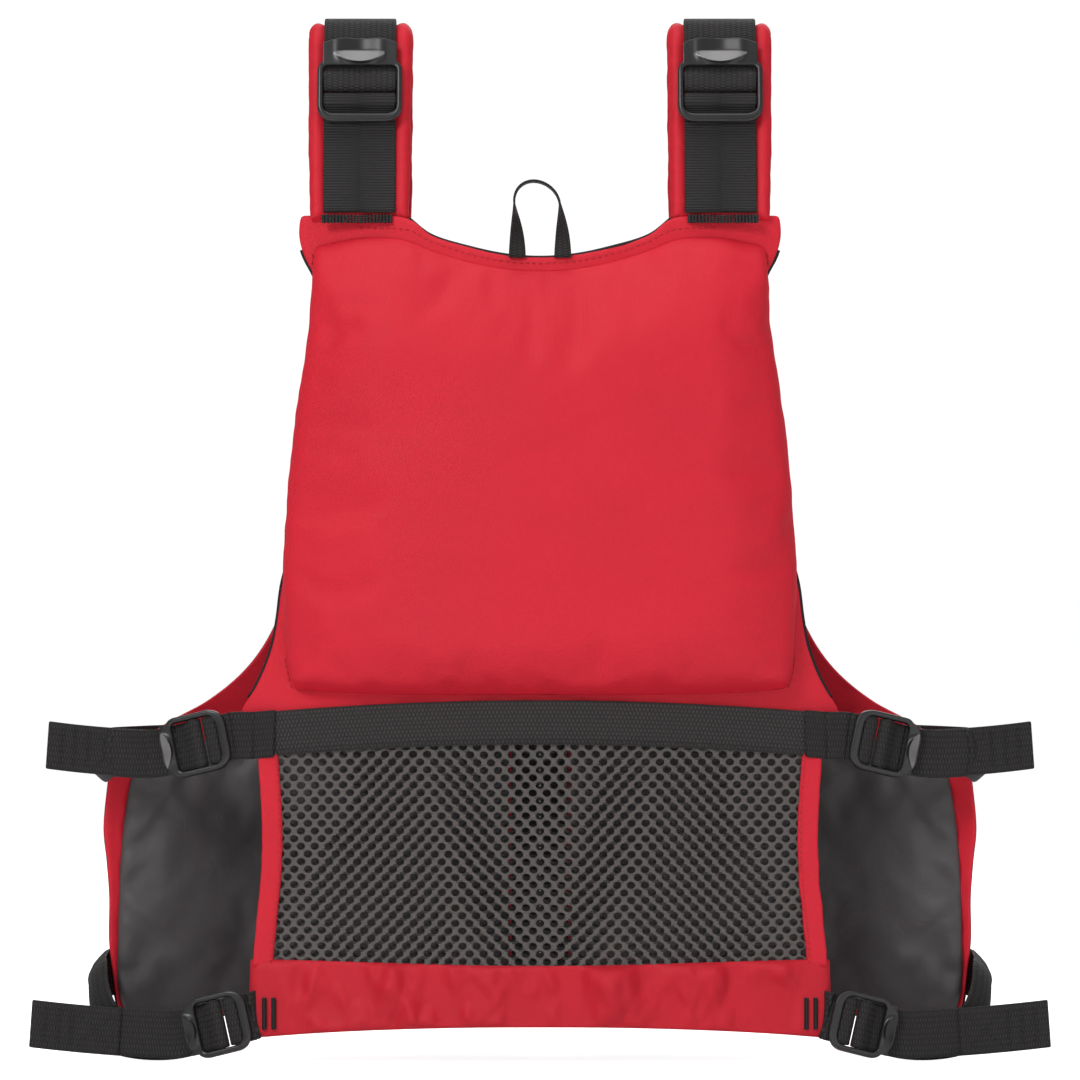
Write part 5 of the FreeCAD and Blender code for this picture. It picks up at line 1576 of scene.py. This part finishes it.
# Sharp creases of the black lining beside the mesh: from, to, how deep and how wide.
CREASES = (((-222, 92), (-203, 107), 3.2, 3.0), ((-221, 80), (-195, 58), 3.0, 2.6),
           ((-223, 110), (-208, 116), 2.0, 2.4), ((-222, 48), (-207, 44), 2.2, 2.6),
           ((-161, 61), (-182, 66), 1.8, 2.6), ((-222, 66), (-210, 70), 1.6, 2.0),
           ((-205, 30), (-190, 48), 3.0, 5.0), ((-176, 28), (-170, 50), 2.6, 5.0))


def build_front():
    """Each half of the front: a red cushion outside, a black one inside and the red edge between them."""
    inner = half_grid(LINING_SIDE, LINING_ARM, LINING_LOW, LINING_ZIP, LINING_NECK, LINING_TOP, 49, 93)
    distance, where = edge_distance(inner)
    rise = crown(distance, 30.0)
    folds = puckers(distance, where, 12.3, 1.5, 10.0, 12.0) + drape(inner, 3.9, 1.2, 75.0, 26.0, -0.35) * rise
    high = 5.5 + 29.0 * rise + folds * 0.6
    cover = cushion("cover", inner, np.full(rise.shape, 3.0), high, on_front, RED, 4.0)
    settle(cover, "front_cushion", ["front_shell_{side}", "front_foam_outer_{side}"],
           body="front_{side}")
    sharp = crown(distance, 17.0)
    folds = (puckers(distance, where, 21.7, 3.4, 15.0, 15.0) + drape(inner, 5.3, 3.6, 60.0, 24.0, 0.9) * sharp
             + drape(inner, 15.3, 1.6, 30.0, 12.0, -0.7) * sharp)
    for start, end, deep, wide in CREASES:
        folds = folds + crease(inner, start, end, deep, wide) * np.clip(distance / 3.0, 0.0, 1.0)
    lining = cushion("lining", inner, -(0.5 + 4.5 * sharp + folds), np.full(rise.shape, 2.0), on_front, LINING,
                     6.0, shrink=-0.04)
    settle(lining, "front_lining_cushion", ["front_lining_{side}", "front_foam_inner_{side}"],
           body="front_{side}")

    rim = half_grid(FRONT_SIDE, FRONT_ARM, FRONT_LOW, FRONT_ZIP, FRONT_NECK, FRONT_TOP, 57, 115)
    distance, where = edge_distance(rim)
    ripple = puckers(distance, where, 6.6, 1.3, 10.0, 9.0) + drape(rim, 8.1, 0.8, 30.0, 22.0)
    high = 3.6 + 0.8 * crown(distance, 5.0) + ripple * 0.5
    edge = panel("edge", rim, 1.2 + ripple * 0.5, high, on_front, RED)
    modifier(edge, "SUBSURF", levels=1)
    settle(edge, "front_edge", body="front_{side}")


def build_front_edging():
    """The piping of the arm hole, the side, the low edge and the neck, and the seam inside it. At the low edge
    the piping lies on the rim; above that, it stands a little higher and further in."""
    outline = flat(FRONT_ARM[::-1], 90) + flat(FRONT_SIDE[::-1], 60)[1:] + flat(FRONT_LOW, 60)[1:]
    path = []
    for p in outline:
        above = unit((p.y - 26.0) / 30.0)
        path.append(on_front(p.x * (1.0 - 0.004 * above), p.y + 0.4 - 1.2 * above, 3.6 + 2.2 * above))
    cord = tube("cord", path, 1.3, EDGE, oval=0.8)
    neck = tube("neck", [on_front(p.x - 0.6, p.y, 5.0) for p in flat(FRONT_NECK, 60)], 1.3, EDGE, oval=0.8)
    settle(join([cord, neck], "piping"), "front_edging", ["front_piping_{side}"],
           body="front_{side}")
    lines = []
    for points, right, up in ((LINING_ARM, -2.0, 1.5), (LINING_SIDE, -2.2, 0.0)):
        lines.append([(on_front(p.x + right, p.y + up, 4.6), FORWARD) for p in flat(points, 120)])
    settle(stitches("seam", lines, RED_THREAD, 2.2, 1.3, 0.28), "front_seam_stitching",
           body="front_{side}")


def rectangle(x0, z0, x1, z1, across, up, bow=0.0):
    """A grid of a four-cornered patch whose sides pull in a little between its corners."""
    grid = np.zeros((up, across, 2))
    for j in range(up):
        v = j / (up - 1)
        for i in range(across):
            u = i / (across - 1)
            grid[j, i] = (x0 + (x1 - x0) * u + bow * math.sin(math.pi * v) * (1 - 2 * u),
                          z0 + (z1 - z0) * v + bow * math.sin(math.pi * u) * (1 - 2 * v))
    return grid


def sew_on_front(name, lines, high, stem, body):
    """Stitches both halves along straight XZ lines, at a height above the front's inner face."""
    runs = [[(on_front(x0 + (x1 - x0) * k / 60, z0 + (z1 - z0) * k / 60, high), FORWARD) for k in range(61)]
            for x0, z0, x1, z1 in lines]
    settle(stitches(name, runs, RED_THREAD, 2.4, 1.2, 0.3), stem, body=body)


def build_pockets():
    """A bellows pocket on each half, a flap over its mouth and the stitching of both."""
    grid = rectangle(-168, 52, -42, 170, 47, 45, 1.2)
    distance, where = edge_distance(grid)
    rise = crown(distance, 9.0)
    folds = puckers(distance, where, 14.4, 1.1, 8.0, 8.0) + drape(grid, 4.2, 0.9, 40.0, 24.0, 0.4) * rise
    pocket = cushion("pocket", grid, np.full(rise.shape, 33.0), 35.5 + 6.3 * rise + folds * 0.6, on_front, RED,
                     2.5, pressure=2.0)
    settle(pocket, "pocket_bellows", ["pocket_{side}"], body="front_{side}")
    sew_on_front("pocket_sewn", ((-166, 54, -44, 54), (-166, 54, -166, 168), (-44, 54, -44, 168)), 39.2,
                 "pocket_stitching", "front_{side}")

    grid = rectangle(-172, 138, -38, 184, 47, 19)
    distance, where = edge_distance(grid)
    drop = np.clip((grid[:, :, 1] - 174.0) / 9.0, 0, 1)
    level = 43.6 - 6.2 * ease(drop)
    wave = drape(grid, 11.0, 0.5, 38.0, 30.0)
    flap = panel("flap", grid, level + wave, level + 1.7 + wave + 0.5 * crown(distance, 3.0), on_front, RED)
    modifier(flap, "SUBSURF", levels=1)
    blend = ("front_{side}", "pocket_flap_{side}", on_front(-105, 182, 44), on_front(-105, 172, 44))
    settle(flap, "pocket_flap_cover", ["pocket_flap_{side}"], blend=blend)
    sew_on_front("flap_sewn", ((-169.5, 140.6, -40.5, 140.6), (-169.5, 140.6, -169.5, 170),
                               (-40.5, 140.6, -40.5, 170)), 45.7, "flap_stitching", "pocket_flap_{side}")


# The CAD nodes that are shown, their materials and the widths of their softened edges.
ZIP_PARTS = (("zip_teeth_left", ZIP_PLASTIC, 0.25), ("zip_teeth_right", ZIP_PLASTIC, 0.25),
             ("zip_slider", ENAMEL, 0.35), ("zip_pull", ENAMEL, 0.3))


def build_zip():
    """The zip's tapes. The teeth, the slider and its pull keep the CAD's shapes, with softened edges."""
    stations = []
    for k in range(151):
        z = 32.0 + 313.0 * k / 150
        stations.append((on_front(-9.4, z, 2.9 + 0.12 * fbm(z / 12.0, 0.0, 2.0, 2)), RIGHT, FORWARD))
    tape = strip("tape", stations, 18.2, 1.3, ZIP_TAPE)
    settle(tape, "zip_tape_cloth", ["zip_tape_{side}"], body="front_{side}")
    lines = [[(on_front(-14.2, 34.0 + 309.0 * k / 120, 5.0), FORWARD) for k in range(121)]]
    settle(stitches("tape_sewn", lines, BLACK_THREAD, 2.4, 1.2, 0.3), "zip_stitching",
           body="front_{side}")
    for node, material, width in ZIP_PARTS:
        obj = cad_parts[node]
        obj.data.materials.clear()
        obj.data.materials.append(material)
        soft = obj.modifiers.new("soft_edges", "BEVEL")
        soft.width = width * MM
        soft.segments = 2
        soft.limit_method = "ANGLE"


# ---------------------------------------------------------------- the studio

FLOOR_REACH = 40000.0
GLOW, SKY_LIGHT, SKY_SEEN = 0.8, 0.22, 1.05

# Each light's place in metres, the sides of its rectangle and its power in watts.
LIGHTS = {"key": ((-1.5, -2.6, 2.3), (1.1, 1.1), 54.0), "fill": ((2.2, -2.4, 1.2), (1.8, 1.8), 13.0),
          "top": ((0.0, -0.2, 2.9), (2.0, 2.0), 34.0), "rear": ((0.3, 2.6, 1.8), (2.0, 2.0), 30.0),
          "low": ((0.0, -2.4, 0.07), (2.4, 0.1), 6.0)}
AIM = Vector((0, 0, 0.28))


def build_floor():
    """A wide pale floor of paper, which glows for the camera so that it meets the sky without a line."""
    corners = [(-1, -1), (1, -1), (1, 1), (-1, 1)]
    paper = Graph("studio_paper")
    tone = paper.mix(paper.noise(3.0), (0.93, 0.93, 0.93), (0.96, 0.96, 0.96))
    paper.plug(paper.shader, "Base Color", tone)
    paper.shader.inputs["Roughness"].default_value = 0.9
    paper.shader.inputs["Emission Color"].default_value = (1.0, 1.0, 1.0, 1.0)
    seen = paper.node("ShaderNodeLightPath").outputs["Is Camera Ray"]
    paper.plug(paper.shader, "Emission Strength", paper.math("MULTIPLY", seen, GLOW))
    paper.plug(paper.shader, "Normal", paper.bump(paper.noise(400.0), 0.0002, 0.2))
    verts = [Vector((x * FLOOR_REACH, y * FLOOR_REACH, 0.0)) for x, y in corners]
    make("studio_floor", verts, [(0, 1, 2, 3)], paper.material)


def build_sky(scene):
    """An even sky, dim as a light and white to the camera."""
    world = bpy.data.worlds.new("studio")
    world.use_nodes = True
    tree = world.node_tree
    sky = tree.nodes["Background"]
    sky.inputs[0].default_value = (1.0, 1.0, 1.0, 1.0)
    ray = tree.nodes.new("ShaderNodeLightPath").outputs["Is Camera Ray"]
    strength = tree.nodes.new("ShaderNodeMapRange")
    strength.inputs["To Min"].default_value = SKY_LIGHT
    strength.inputs["To Max"].default_value = SKY_SEEN
    tree.links.new(ray, strength.inputs["Value"])
    tree.links.new(strength.outputs["Result"], sky.inputs["Strength"])
    scene.world = world
    scene.view_settings.view_transform = "Standard"


def build_studio():
    """The floor, the sky, soft lights and a long lens level with the middle of the jacket's back."""
    scene = bpy.context.scene
    build_floor()
    build_sky(scene)
    for name, (at, size, power) in LIGHTS.items():
        lamp = bpy.data.lights.new(name, "AREA")
        lamp.shape = "RECTANGLE"
        lamp.size, lamp.size_y = size
        lamp.energy = power
        obj = bpy.data.objects.new(name, lamp)
        obj.location = at
        obj.rotation_euler = (AIM - Vector(at)).to_track_quat("-Z", "Y").to_euler()
        obj.visible_camera = False
        scene.collection.objects.link(obj)

    lens = bpy.data.cameras.new("camera")
    lens.sensor_width = 36.0
    lens.lens = 317.0
    lens.clip_end = 100.0
    camera = bpy.data.objects.new("camera", lens)
    camera.location = (0.0, -5.07, 0.2746)
    camera.rotation_euler = (math.pi / 2, 0.0, 0.0)
    scene.collection.objects.link(camera)
    scene.camera = camera


build_back_panel()
build_mesh()
build_bindings()
build_hem()
build_bar_tacks()
build_waist_webbing()
build_side_straps()
build_shoulder_pads()
build_shoulder_webbing()
build_hang_loop()
build_front()
build_front_edging()
build_pockets()
build_zip()
build_studio()

bpy.context.view_layer.update()
